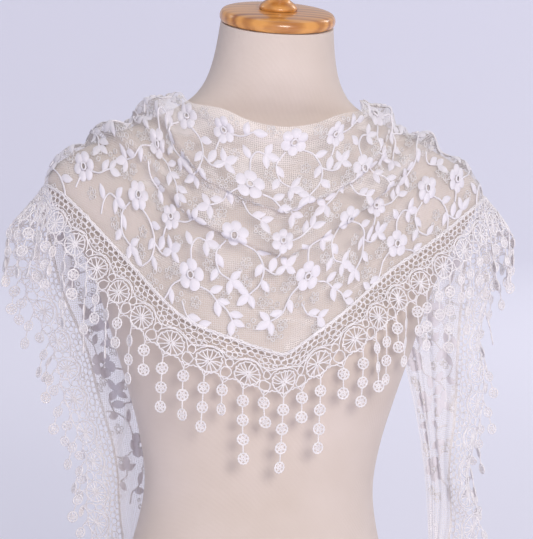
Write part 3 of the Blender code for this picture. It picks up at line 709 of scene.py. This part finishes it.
def plain_backdrop():
    """A wall in matte emulsion, pale lilac."""
    material, tree, shader = new_material("painted_backdrop")
    wire_shader(tree, shader, {}, {"Base Color": linear("EFEEFA"), "Roughness": 0.95})
    return material


def select_only(piece):
    bpy.ops.object.select_all(action="DESELECT")
    piece.select_set(True)
    bpy.context.view_layer.objects.active = piece


def finish_piece(piece, name, slot, material, *replaced):
    """Names a piece, gives it its finish and body, and hides the solids that it stands for."""
    piece.name = name
    piece.data.name = name
    piece.data.materials.clear()
    piece.data.materials.append(material)
    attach(piece, "root")
    if replaced:
        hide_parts(*replaced)
    return piece


def mesh_piece(name, points, faces):
    """A smooth piece from points in millimetres and the faces between them."""
    mesh = bpy.data.meshes.new(name)
    mesh.from_pydata((np.asarray(points) * MM).tolist(), [], faces)
    mesh.update()
    mesh.shade_smooth()
    piece = bpy.data.objects.new(name, mesh)
    bpy.context.collection.objects.link(piece)
    return piece


def add_layout(piece, name, places):
    """Keeps one flat place for each point of a piece, as a UV map."""
    layer = piece.data.uv_layers.new(name=name)
    corners = np.array([loop.vertex_index for loop in piece.data.loops])
    layer.data.foreach_set("uv", places[corners].ravel())


def spin_profile(mesh, profile, steps, merge, place=Matrix()):
    """Fills a mesh with a profile of (x, z) in metres, spun round the Z axis and put in its place."""
    bm = bmesh.new()
    verts = [bm.verts.new((x, 0, z)) for x, z in profile]
    edges = [bm.edges.new(pair) for pair in zip(verts, verts[1:])]
    bmesh.ops.spin(bm, geom=verts + edges, angle=2 * math.pi, steps=steps, axis=(0, 0, 1), cent=(0, 0, 0))
    bmesh.ops.remove_doubles(bm, verts=bm.verts, dist=merge)
    bmesh.ops.recalc_face_normals(bm, faces=bm.faces)
    bm.transform(place)
    bm.to_mesh(mesh)
    bm.free()


def make_torso(material):
    """The padded torso: smooth rings from the foot to the neck, closed at both ends."""
    points, faces = form_rings()
    foot, neck = range(FORM_SIDES), range(len(points) - FORM_SIDES, len(points))
    piece = mesh_piece("torso", points, faces + [tuple(foot)[::-1], tuple(neck)])
    select_only(piece)
    bpy.ops.object.shade_smooth_by_angle(angle=math.radians(50))
    return finish_piece(piece, "torso", "form_cloth", material, "form_body")


def make_turned(name, profile, lift, material, node):
    """A turned wooden piece: the profile's edge is spun round the neck's tilted axis."""
    bpy.ops.object.select_all(action="DESELECT")
    bpy.ops.mesh.primitive_plane_add(size=1.0)
    piece = bpy.context.object
    keys = np.arange(len(profile))
    fine = smooth(keys, profile, np.linspace(0, len(profile) - 1, 4 * len(profile)))
    outline = np.concatenate([[(0.0, profile[0][1])], fine, [(0.0, profile[-1][1])]])
    outline = np.maximum(outline, [0.0, -1.0])
    top, middle = FORM_RINGS[-1][0], FORM_RINGS[-1][4]
    place = Matrix.Translation((0, middle * MM, top * MM)) @ Matrix.Rotation(NECK_TILT, 4, "X")
    profile = [(radius * MM, (height + lift) * MM) for radius, height in outline]
    spin_profile(piece.data, profile, TURNED_STEPS, 0.02 * MM, place)
    select_only(piece)
    bpy.ops.object.shade_smooth_by_angle(angle=math.radians(40))
    return finish_piece(piece, name, "turned_wood", material, node)


class Threads:
    """Cords gathered as lines in millimetres, each thickness made as one bevelled curve."""

    def __init__(self):
        self.lines = {}

    def add(self, points, radius, closed=False):
        self.lines.setdefault(radius, []).append((np.asarray(points), closed))

    def make(self, name, slot, material, *replaced):
        made = []
        for radius, lines in self.lines.items():
            curve = bpy.data.curves.new(name, "CURVE")
            curve.dimensions = "3D"
            curve.bevel_depth = radius * MM
            curve.bevel_resolution = 0
            curve.use_fill_caps = True
            for points, closed in lines:
                spline = curve.splines.new("POLY")
                spline.points.add(len(points) - 1)
                flat = np.concatenate([points * MM, np.ones((len(points), 1))], axis=1)
                spline.points.foreach_set("co", flat.ravel())
                spline.use_cyclic_u = closed
            cord = bpy.data.objects.new(name, curve)
            bpy.context.collection.objects.link(cord)
            made.append(cord)
        bpy.ops.object.select_all(action="DESELECT")
        for cord in made:
            cord.select_set(True)
        bpy.context.view_layer.objects.active = made[0]
        bpy.ops.object.convert(target="MESH")
        if len(made) > 1:
            bpy.ops.object.join()
        piece = bpy.context.view_layer.objects.active
        piece.data.shade_smooth()
        return finish_piece(piece, name, slot, material, *replaced)


def make_ground(veil, material):
    """The tulle itself: one thin sheet from tip to tip, with its flat layout kept as a UV map."""
    keep = np.abs(veil.run) <= CLOTH_END + 0.1
    runs = veil.run[keep]
    shares = np.linspace(0, 1, FINE_ACROSS + 1)
    run_grid, share_grid = np.meshgrid(runs, shares, indexing="ij")
    points = veil.on_cloth(run_grid, share_grid).reshape(-1, 3)
    layout = flat_place(veil, run_grid, share_grid).reshape(-1, 2) * MM
    wide = len(shares)
    faces = [
        (i * wide + j, i * wide + j + 1, (i + 1) * wide + j + 1, (i + 1) * wide + j)
        for i in range(len(runs) - 1)
        for j in range(wide - 1)
    ]
    piece = mesh_piece("tulle_ground", points, faces)
    add_layout(piece, "flat", layout)
    return finish_piece(piece, "tulle_ground", "embroidered_tulle", material, "veil_front",
                        "veil_shoulder_left", "veil_shoulder_right", "veil_tail_left", "veil_tail_right")


def edge_along_cut(veil, run):
    """How far along the cut's inner edge a row starts, by its run along the outer edge."""
    inner = veil.cloth[:, 0]
    middle = len(inner) // 2
    shares = []
    for half in (inner[middle:], inner[middle::-1]):
        reach = lengths_along(half)
        shares.append(np.interp(np.abs(run), veil.run[middle:], reach / reach[-1]))
    return np.sign(run) * np.where(run >= 0, *shares) * CUT_HALF


def flat_place(veil, run, share):
    """Where a point of the cloth lies on the flat cut."""
    outer_x = run * CUT_HALF / LEG
    outer_y = CUT_DEPTH * (1 - np.abs(run) / LEG)
    x = edge_along_cut(veil, run) * (1 - share) + outer_x * share
    return np.stack([x, outer_y * share], axis=-1)


def place_on_cloth(veil, flat):
    """The run and share of points of the flat cut, found by halving the run's range."""
    x, y = flat[..., 0], flat[..., 1]
    low, high = np.zeros_like(x), np.full_like(x, LEG - 1)
    sign = np.where(x < 0, -1.0, 1.0)
    for _ in range(HALVINGS):
        middle = (low + high) / 2
        depth = CUT_DEPTH * (1 - middle / LEG)
        share = np.clip(y / np.maximum(depth, 1), 0, 1.5)
        inner = np.abs(edge_along_cut(veil, middle * sign))
        short = inner * (1 - share) + middle * CUT_HALF / LEG * share < np.abs(x)
        low, high = np.where(short, middle, low), np.where(short, high, middle)
    middle = (low + high) / 2
    share = y / np.maximum(CUT_DEPTH * (1 - middle / LEG), 1)
    return middle * sign, share


def inside_cut(flat, margin):
    """True for points of the flat cut that lie clear of its edges."""
    x, y = np.abs(flat[..., 0]), flat[..., 1]
    slope = math.atan2(CUT_DEPTH, CUT_HALF)
    to_edge = (CUT_DEPTH - y) * math.cos(slope) - x * math.sin(slope)
    return (y > margin) & (to_edge > margin) & (x < CUT_HALF - 3 * REPEAT)


def tile_origins():
    """The tiles' corners over the whole cut, each second row moved along by half a tile."""
    across, down = TILE
    rows = range(-1, int(CUT_DEPTH / down) + 2)
    columns = range(-int(CUT_HALF / across) - 2, int(CUT_HALF / across) + 2)
    for row in rows:
        for column in columns:
            yield (column + TILE_STEP * (row % 2)) * across, row * down


def curve_through(points, spacing):
    """A smooth line through a few points, with even steps."""
    points = np.asarray(points, float)
    keys = lengths_along(points)
    fine = smooth(keys, points, np.linspace(0, keys[-1], 60))
    return respaced(fine, max(int(lengths_along(fine)[-1] / spacing), 2) + 1)


def rounded(piece):
    """The places of a grid's points once its square outline is drawn in to a circle."""
    return [
        (vert, vert.co.x * math.sqrt(1 - vert.co.y**2 / 2), vert.co.y * math.sqrt(1 - vert.co.x**2 / 2))
        for vert in piece.data.vertices
    ]


def leaf_model():
    """One leaf, pointed at both ends and padded: y runs along it."""
    bpy.ops.object.select_all(action="DESELECT")
    bpy.ops.mesh.primitive_grid_add(x_subdivisions=4, y_subdivisions=6, size=2.0)
    leaf = bpy.context.object
    length, width = LEAF
    for vert, x, y in rounded(leaf):
        pad = max(1 - x**2 - y**2, 0) ** 0.5
        narrow = max(1 - y**2, 0.02) ** 0.42 * (1 - 0.14 * y)
        vert.co = (x * narrow * width / 2, (y + 1) / 2 * length, 0.1 + 1.0 * pad)
    return take_model(leaf)


def petal_model():
    """One round padded petal, narrower towards the flower's ring, in a flower of radius one."""
    bpy.ops.object.select_all(action="DESELECT")
    bpy.ops.mesh.primitive_grid_add(x_subdivisions=5, y_subdivisions=5, size=2.0)
    petal = bpy.context.object
    for vert, x, y in rounded(petal):
        pad = max(1 - x**2 - y**2, 0) ** 0.5
        vert.co = (x * (0.88 + 0.12 * y), 0.62 + 0.38 * y, 0.1 + 1.3 * pad)
    return take_model(petal)


def take_model(piece):
    """The points and faces of a small model, with the flatter stitches of its back. The model goes."""
    mesh = piece.data
    front = np.array([tuple(vert.co) for vert in mesh.vertices])
    faces = [tuple(face.vertices) for face in mesh.polygons]
    bpy.data.objects.remove(piece, do_unlink=True)
    bpy.data.meshes.remove(mesh)
    back = front * (1, 1, -BACK_FLATTER) - (0, 0, NET_LIFT)
    faces += [tuple(corner + len(front) for corner in face[::-1]) for face in faces]
    return np.concatenate([front, back]), faces


class Stamps:
    """Copies of small models, bent onto the cloth where they lie."""

    def __init__(self, veil):
        self.veil = veil
        self.points, self.faces, self.stitch = [], [], []
        self.count = 0

    def add(self, model, middle, turn, size=(1.0, 1.0)):
        points, faces = model
        x, y = points[:, 0] * size[0], points[:, 1] * size[1]
        flat = np.stack([middle[0] + x * math.cos(turn) - y * math.sin(turn),
                         middle[1] + x * math.sin(turn) + y * math.cos(turn)], axis=1)
        run, share = place_on_cloth(self.veil, flat)
        self.points.append(self.veil.on_cloth(run, np.clip(share, 0, 1), NET_LIFT + points[:, 2]))
        self.stitch.append(np.stack([y, x], axis=1))
        self.faces += [tuple(corner + self.count for corner in face) for face in faces]
        self.count += len(points)

    def make(self, name, material):
        piece = mesh_piece(name, np.concatenate(self.points), self.faces)
        add_layout(piece, "stitch", np.concatenate(self.stitch))
        return finish_piece(piece, name, "embroidered_tulle", material)


def circle_line(middle, radius, steps):
    """Evenly spaced points of a circle, the first one not repeated."""
    angle = 2 * math.pi * np.arange(steps) / steps
    return np.stack([middle[0] + radius * np.cos(angle), middle[1] + radius * np.sin(angle)], axis=1)


def longest_inside(line, margin):
    """The longest stretch of a line that lies on the cut."""
    inside = inside_cut(line, margin)
    best, start = (0, 0), None
    for k, flag in enumerate(list(inside) + [False]):
        if flag and start is None:
            start = k
        if not flag and start is not None:
            best = max(best, (k - start, start))
            start = None
    return line[best[1]:best[1] + best[0]]


def make_embroidery(veil, satin, thread, eyelet_thread):
    """Stems with leaves, round-petalled flowers and rosettes of eyelets, tile after tile."""
    leaf, petal = leaf_model(), petal_model()
    leaves, flowers = Stamps(veil), Stamps(veil)
    stems, rings, eyes = Threads(), Threads(), Threads()
    for left, top in tile_origins():
        corner = np.array([left, top])
        for places, leaf_places, at_tip in STEMS:
            line = curve_through(places, STEM_STEP) + corner
            kept = longest_inside(line, 2.0)
            if len(kept) < 4:
                continue
            run, share = place_on_cloth(veil, kept)
            lift = np.full(len(kept), NET_LIFT + STEM_LIFT)
            stems.add(veil.on_cloth(run, share, lift), STEM_RADIUS)
            add_leaves(leaves, leaf, line, leaf_places, at_tip)
        for x, y, radius, turn, petals in FLOWERS:
            middle = corner + (x, y)
            if not inside_cut(circle_line(middle, radius, 12), -0.5).all():
                continue
            size = (radius * PETAL_WIDTHS[petals], radius)
            for k in range(petals):
                flowers.add(petal, middle, math.radians(turn) + 2 * math.pi * k / petals, size)
            add_ring(veil, rings, middle, FLOWER_RING * radius, 1.0, 1.5)
        for x, y in EYELETS:
            add_eyelets(veil, eyes, corner + (x, y))
        for x, y in LONE_RINGS:
            for k in range(3):
                away = 4.0 * np.array([math.cos(2.1 * k + x), math.sin(2.1 * k + x)])
                add_ring(veil, eyes, corner + (x, y) + away, 2.0, EYELET_THREAD, EYELET_LIFT, 10)
    return (
        stems.make("stem_cords", "embroidered_tulle", thread),
        leaves.make("satin_leaves", satin),
        flowers.make("satin_flowers", satin),
        rings.make("flower_rings", "embroidered_tulle", thread),
        eyes.make("eyelet_rings", "embroidered_tulle", eyelet_thread),
    )


def add_leaves(leaves, model, line, leaf_places, at_tip):
    """Leaves on alternate sides of a stem, and up to three at its end."""
    at = lengths_along(line)
    spots = []
    for number, part_way in enumerate(leaf_places):
        k = int(np.clip(np.searchsorted(at, at[-1] * part_way), 1, len(line) - 2))
        side = 1 if number % 2 else -1
        spots.append((k, side * 0.85, 0.95))
    spots += [(len(line) - 1, lean, size) for lean, size in TIP_LEAVES[at_tip]]
    for k, lean, size in spots:
        way = line[k] - line[k - 1]
        turn = math.atan2(way[1], way[0]) - math.pi / 2 + lean
        tip = line[k] + size * LEAF[0] * np.array([-math.sin(turn), math.cos(turn)])
        if inside_cut(np.array([line[k], tip]), 1.0).all():
            leaves.add(model, line[k], turn, (size, size))


def add_ring(veil, rings, middle, radius, thread, lift, steps=12):
    """One ring of thread laid on the net, where the whole of it lies on the cut."""
    line = circle_line(middle, radius, steps)
    if not inside_cut(line, 1.0).all():
        return
    run, share = place_on_cloth(veil, line)
    rings.add(veil.on_cloth(run, share, np.full(len(line), NET_LIFT + lift)), thread, closed=True)


def add_eyelets(veil, rings, middle):
    """A rosette of five small stitched rings round a bare middle."""
    for k in range(5):
        turn = 2 * math.pi * k / 5 + 0.4 * middle[0]
        spot = middle + 3.7 * np.array([math.cos(turn), math.sin(turn)])
        add_ring(veil, rings, spot, 1.6, EYELET_THREAD, EYELET_LIFT, 8)


# Lace border, as lines in one repeat. Along is 0 to REPEAT, away is from its inner edge outwards.
LAP = 4.0
CORD = 0.7
FINE_CORD = 0.58
SEAM_CORDS = (0.8, 2.1)
NET_ROWS = (
    # cells in a repeat, half length, half width, distance from the inner edge, its change, shift along
    (5, 3.0, 2.3, 5.2, 0.0, 0.5),
    (5, 3.1, 2.4, 10.3, 0.6, 0.0),
)
NET_BETWEEN = (
    # along, away, half length, half width
    (9.6, 14.3, 2.3, 1.5), (14.4, 15.8, 2.3, 2.1), (19.2, 15.8, 2.3, 2.1), (23.7, 14.4, 2.3, 1.5),
)
WHEEL_MIDDLE = 28.7
WHEEL_REACH = (11.6, 11.4)
WHEEL_SPOKES = 14
OPENING_RINGS = ((16.5, 24.2, 3.3, 3.7), (16.5, 34.2, 4.4, 5.0))
WHEEL_ARCH = (13.6, 13.2)
HUB = 1.2
CORD_INSIDE = 0.7
LACE_LIFT = 0.4
LAP_LIFT = 0.8
# How far a hand-worked thread strays from its line
HAND = 0.24


def arch(along):
    """How far from its inner edge the arched cord runs: nearest above a wheel, furthest between two."""
    return 16.9 - 2.7 * np.cos(2 * math.pi * along / REPEAT)


def net_cell(along, away, half_long, half_wide, chance):
    """One round-cornered cell of the net, drawn unevenly, as a hand-worked one is."""
    angle = 2 * math.pi * (np.arange(10) + chance.uniform(-0.5, 0.5)) / 10
    grow = 1 + chance.uniform(-0.14, 0.14, 10)
    square = (np.abs(np.cos(angle)) ** 3 + np.abs(np.sin(angle)) ** 3) ** (-1 / 3)
    reach = oval((half_long, half_wide), angle) * (grow * square)[:, None]
    return np.array([along, away]) + chance.uniform(-0.6, 0.6, 2) + reach


def repeat_lines(chance):
    """The threads of one repeat: lists of (line of along and away, radius, closed)."""
    lines = []
    whole = np.linspace(0, REPEAT, 25)
    for away in SEAM_CORDS:
        lines.append((np.stack([whole, np.full_like(whole, away)], axis=1), CORD, False))
    for cells, half_long, half_wide, away, change, shift in NET_ROWS:
        for k in range(cells):
            along = (k + shift) * REPEAT / cells
            row = away - change * math.cos(2 * math.pi * along / REPEAT)
            lines.append((net_cell(along, row, half_long, half_wide, chance), FINE_CORD, True))
    for along, away, half_long, half_wide in NET_BETWEEN:
        lines.append((net_cell(along, away, half_long, half_wide, chance), FINE_CORD, True))
    fine = np.linspace(0, REPEAT, 41)
    lines.append((np.stack([fine, arch(fine)], axis=1), CORD, False))
    lines += wheel_lines(chance)
    for along, away, half_long, half_wide in OPENING_RINGS:
        lines.append((net_cell(along, away, half_long, half_wide, chance), CORD, True))
    lines.append((scallop_cord(), CORD, False))
    return lines


def scallop_cord():
    """The looped outer cord, just inside the scalloped edge."""
    along = np.linspace(0, REPEAT, 45)
    away = np.array([scallop_at(s) for s in along]) + LAP - CORD_INSIDE
    return np.stack([along, away + 0.5 * np.cos(2 * math.pi * along / (REPEAT / 8))], axis=1)


def oval(reach, angle):
    """A point of an oval round the origin at each angle, by its reach along and away."""
    return np.stack([reach[0] * np.cos(angle), reach[1] * np.sin(angle)], axis=-1)


def wheel_lines(chance):
    """A spoked wheel: a looped rim, a cord arched over it, its hub and uneven spokes."""
    middle = np.array([0.0, WHEEL_MIDDLE])
    angle = np.linspace(0, 2 * math.pi, 66)[:-1]
    loops = 1 - 0.1 * np.abs(np.cos(WHEEL_SPOKES * angle / 2))
    loops = loops + 0.03 * np.cos(3 * angle + chance.uniform(0, 6))
    rim = middle + oval([reach * loops for reach in WHEEL_REACH], angle)
    arc = middle + oval(WHEEL_ARCH, np.radians(np.linspace(-160, -20, 22)))
    lines = [(rim, CORD * 1.1, True), (arc, CORD * 0.9, False)]
    lines.append((circle_line(middle, HUB, 8), CORD, True))
    for k in range(WHEEL_SPOKES):
        turn = 2 * math.pi * (k + 0.5) / WHEEL_SPOKES + chance.uniform(-0.09, 0.09)
        way = oval(WHEEL_REACH, turn)
        bend = chance.uniform(-0.7, 0.7) * np.array([-math.sin(turn), math.cos(turn)])
        spoke = np.array([middle + way * 0.1, middle + way * 0.5 + bend, middle + way * 0.94])
        lines.append((spoke, FINE_CORD * 1.15, False))
    return lines


def on_border(veil, run, away, lift):
    """A place on the border, whose first millimetres lap over the edge of the tulle."""
    depth = np.interp(run, veil.run, veil.depth)
    past = np.maximum(LAP - away, 0)
    over = LAP_LIFT * np.clip(past / 2, 0, 1)
    lapped = veil.on_cloth(run, np.clip(1 - past / depth, 0, 1), lift + over)
    free = veil.on_lace(run, np.maximum(away - LAP, 0.0), lift)
    return np.where((past > 0)[:, None], lapped, free)


def make_lace(veil, thread):
    """The border's threads on each half, repeat after repeat, with the wheels centred on the V."""
    pieces = []
    chance = np.random.default_rng(11)
    last = round(CLOTH_END / REPEAT)
    for half, first in (("left", -last), ("right", 0)):
        cords = Threads()
        for k in range(first, first + last):
            for line, radius, closed in repeat_lines(chance):
                uneven = chance.normal(0, HAND, line.shape)
                meets_next = not closed and abs(line[0, 1] - line[-1, 1]) < 0.01
                if meets_next:
                    uneven[:, 0] = 0
                run = np.clip(k * REPEAT + line[:, 0] + uneven[:, 0], -CLOTH_END, CLOTH_END)
                away = line[:, 1] + uneven[:, 1]
                lift = np.full(len(run), LACE_LIFT * chance.uniform(-1, 1))
                cords.add(on_border(veil, run, away, lift), radius, closed)
        nodes = ["lace_shoulder_" + half, "lace_tail_" + half]
        if half == "left":
            nodes.append("lace_front")
        pieces.append(cords.make("lace_border_" + half, "lace", thread, *nodes))
    return pieces


# Fringe: a rosette hangs flat in its own plane, x across and y down
ROSETTE_RING = 5.1
ROSETTE_LOBES = 6
BRIDGE_START = 2.5
TIE = 3.0
LOOP_HALF = 3.6
DROP_SWAY = 1.6
CHAIN_THREAD = 0.45
CHAIN_PITCH = 3.4
# The share of drops that hang nearly side on, and their turn
SIDE_ON_SHARE = 0.18
SIDE_ON_TURN = 1.25


def rosette_lines():
    """One crocheted rosette: a ring with a small looped flower in it."""
    turn = np.linspace(0, 2 * math.pi, 37)[:-1]
    lobes = 2.55 + 1.15 * np.cos(ROSETTE_LOBES * turn)
    flower = oval((lobes, lobes), turn)
    bumps = ROSETTE_RING + 0.3 * np.cos(12 * turn)
    ring = oval((bumps, bumps), turn)
    lines = [(ring, 0.85, True), (flower, 0.55, True), (circle_line((0, 0), 1.1, 8), 0.5, True)]
    for k in range(ROSETTE_LOBES):
        way = oval((1, 1), 2 * math.pi * k / ROSETTE_LOBES)
        lines.append((np.array([way * 3.4, way * ROSETTE_RING]), 0.45, False))
    return lines


def make_fringe(veil, skin, thread):
    """Drops from each wheel's foot and each opening ring, with their chains and rosettes."""
    pieces = []
    chance = np.random.default_rng(5)
    model = rosette_lines()
    last = round(CLOTH_END / REPEAT)
    for half, first in (("left", -2 * last), ("right", 0)):
        cords = Threads()
        for index in range(first + (half == "left"), first + 2 * last):
            add_drop(veil, skin, cords, model, index * REPEAT / 2, index, chance)
        nodes = ["fringe_shoulder_" + half, "fringe_tail_" + half]
        if half == "left":
            nodes.append("fringe_front")
        pieces.append(cords.make("fringe_" + half + "_rosettes", "lace", thread, *nodes))
    return pieces


def add_drop(veil, skin, cords, model, run, index, chance):
    """One drop: a chain of two twisted threads, broken by rosettes that have turned a little."""
    count = drop_rosettes(index)
    start = DROP_START if index % 2 == 0 else BRIDGE_START
    length = start + ROSETTE + (count - 1) * ROSETTE_PITCH
    distances = np.linspace(0, length, int(length / 1.5) + 2)
    points, across = drop_path(veil, skin, run, index, distances)
    across = unit(across)
    sway = chance.normal(0, DROP_SWAY) * (distances / length) ** 1.5
    points = points + across * sway[:, None]
    ends = [veil.on_lace(s, scallop_at(s) - CORD_INSIDE) for s in (run - LOOP_HALF, run, run + LOOP_HALF)]
    loop = [ends[0], ends[2]]
    points = np.concatenate([[ends[1]], points])
    distances = np.concatenate([[-TIE], distances])
    knot = points[1] * 0.6 + points[3] * 0.4
    sides = [loop[0] * 0.45 + knot * 0.55, loop[1] * 0.45 + knot * 0.55]
    cords.add(np.array([loop[0], sides[0] - (0, 0, 0.5), knot, sides[1] - (0, 0, 0.5), loop[1]]), 0.5)
    turn = chance.uniform(-0.5, 0.5)
    if chance.uniform() > 1 - SIDE_ON_SHARE:
        turn += SIDE_ON_TURN
    for k in range(count):
        middle = start + ROSETTE / 2 + k * ROSETTE_PITCH
        centre = places_along(points, distances, middle)
        down = unit(places_along(points, distances, middle + 3) - centre)
        facing = unit(np.cross(across, down))
        spun = turn + 0.35 * k * chance.uniform(-1, 1)
        sideways = across * math.cos(spun) + facing * math.sin(spun)
        own = chance.uniform(0, math.pi)
        spin = np.array([[math.cos(own), -math.sin(own)], [math.sin(own), math.cos(own)]])
        for line, radius, closed in model:
            line = line @ spin
            cords.add(centre + line[:, :1] * sideways + line[:, 1:] * down, radius, closed)
        top = -TIE if k == 0 else middle - ROSETTE_PITCH + ROSETTE_RING
        add_chain(cords, points, distances, top, middle - ROSETTE_RING, across, facing)


def add_chain(cords, points, distances, start, end, across, facing):
    """Two threads wound round each other."""
    steps = max(int((end - start) / 0.9), 3)
    at = np.linspace(start, end, steps)
    line = places_along(points, distances, at)
    for phase in (0.0, math.pi):
        angle = (2 * math.pi * (at - start) / CHAIN_PITCH + phase)[:, None]
        wound = line + CHAIN_THREAD * (across * np.cos(angle) + facing * np.sin(angle))
        cords.add(wound, CHAIN_THREAD)


def make_stage(material):
    """A round pale floor that curves up into a wall, wide enough for a view from any side."""
    bpy.ops.object.select_all(action="DESELECT")
    bpy.ops.mesh.primitive_plane_add(size=1.0)
    floor = bpy.context.object
    floor.name = "backdrop"
    profile = [(0.0, 0.0), (1.5, 0.0), (3.5, 0.0), (7.0, 0.0)]
    profile += [(7.0 + 3 * math.sin(t), 3 - 3 * math.cos(t)) for t in np.linspace(0.1, math.pi / 2, 14)]
    spin_profile(floor.data, profile, 96, 0.0002)
    floor.data.shade_smooth()
    floor.data.materials.append(material)


def add_light(name, place, aim, size, power, colour):
    light = bpy.data.lights.new(name, "AREA")
    light.shape = "DISK"
    light.size = size
    light.energy = power
    light.color = linear(colour)[:3]
    lamp = bpy.data.objects.new(name, light)
    lamp.location = place
    lamp.rotation_euler = (Vector(aim) - Vector(place)).to_track_quat("-Z", "Y").to_euler()
    bpy.context.collection.objects.link(lamp)


def add_camera():
    """The photograph's view: long lens, a little above, the picture turned slightly clockwise."""
    turn, rise, roll = (math.radians(a) for a in (CAMERA_TURN, CAMERA_RISE, CAMERA_ROLL))
    right = Vector((math.cos(turn), math.sin(turn), 0))
    back = Vector((math.sin(turn) * math.cos(rise), -math.cos(turn) * math.cos(rise), math.sin(rise)))
    up = back.cross(right)
    across = right * math.cos(roll) + up * math.sin(roll)
    upward = up * math.cos(roll) - right * math.sin(roll)
    camera = bpy.data.cameras.new("camera")
    camera.sensor_width = CAMERA_SENSOR
    camera.lens = CAMERA_SENSOR * PIXELS_A_METRE * CAMERA_FAR / PHOTO_LONG_SIDE
    holder = bpy.data.objects.new("camera", camera)
    turned = Matrix((across, upward, back)).transposed().to_4x4()
    holder.matrix_world = Matrix.Translation(Vector(CAMERA_AIM) + back * CAMERA_FAR) @ turned
    bpy.context.collection.objects.link(holder)
    bpy.context.scene.camera = holder


def main():
    jersey, beech, tulle, satin = stretched_jersey(), varnished_beech(), fine_tulle(), satin_stitch()
    stem_thread = cotton_thread("rayon_cord", "E6E3E8", "F1EEF2", 0.5, 0.8)
    eyelet_thread = cotton_thread("fine_polyester_thread", "DCD8D8", "ECE9E9", 0.6, 0.5)
    lace_thread = cotton_thread("guipure_cotton", "ECE8EA", "F7F4F5", 0.65, 0.7)

    make_torso(jersey)
    make_turned("neck_cap", CAP_PROFILE, CAP_GAP, beech, "form_neck_cap")
    make_turned("neck_knob", KNOB_PROFILE, 2 * CAP_GAP + CAP_PROFILE[-1][1], beech, "form_knob")

    skin = form_skin()
    veil = Veil(skin)
    ground = make_ground(veil, tulle)
    trims = list(make_embroidery(veil, satin, stem_thread, eyelet_thread))
    trims += make_lace(veil, lace_thread)
    trims += make_fringe(veil, skin, lace_thread)

    make_stage(plain_backdrop())
    add_camera()
    add_light("key", (0.3, -2.9, 1.36), (0, 0, 0.38), 1.05, 50, "FFF9F4")
    add_light("top", (0.3, 0.6, 3.0), (0, 0, 0.5), 1.6, 3, "FFFFFF")
    add_light("backdrop_right", (4.2, 2.6, 4.2), (1.6, 7.0, 0.2), 2.5, 128, "FFFFFF")
    add_light("backdrop_left", (-4.2, 2.6, 4.2), (-1.2, 7.5, 0.4), 2.5, 46, "FFFFFF")
    world = bpy.data.worlds.new("studio")
    world.use_nodes = True
    world.node_tree.nodes["Background"].inputs["Color"].default_value = linear("F0EFF9")
    world.node_tree.nodes["Background"].inputs["Strength"].default_value = 0.58
    bpy.context.scene.world = world
    bpy.context.scene.view_settings.view_transform = "Standard"


main()
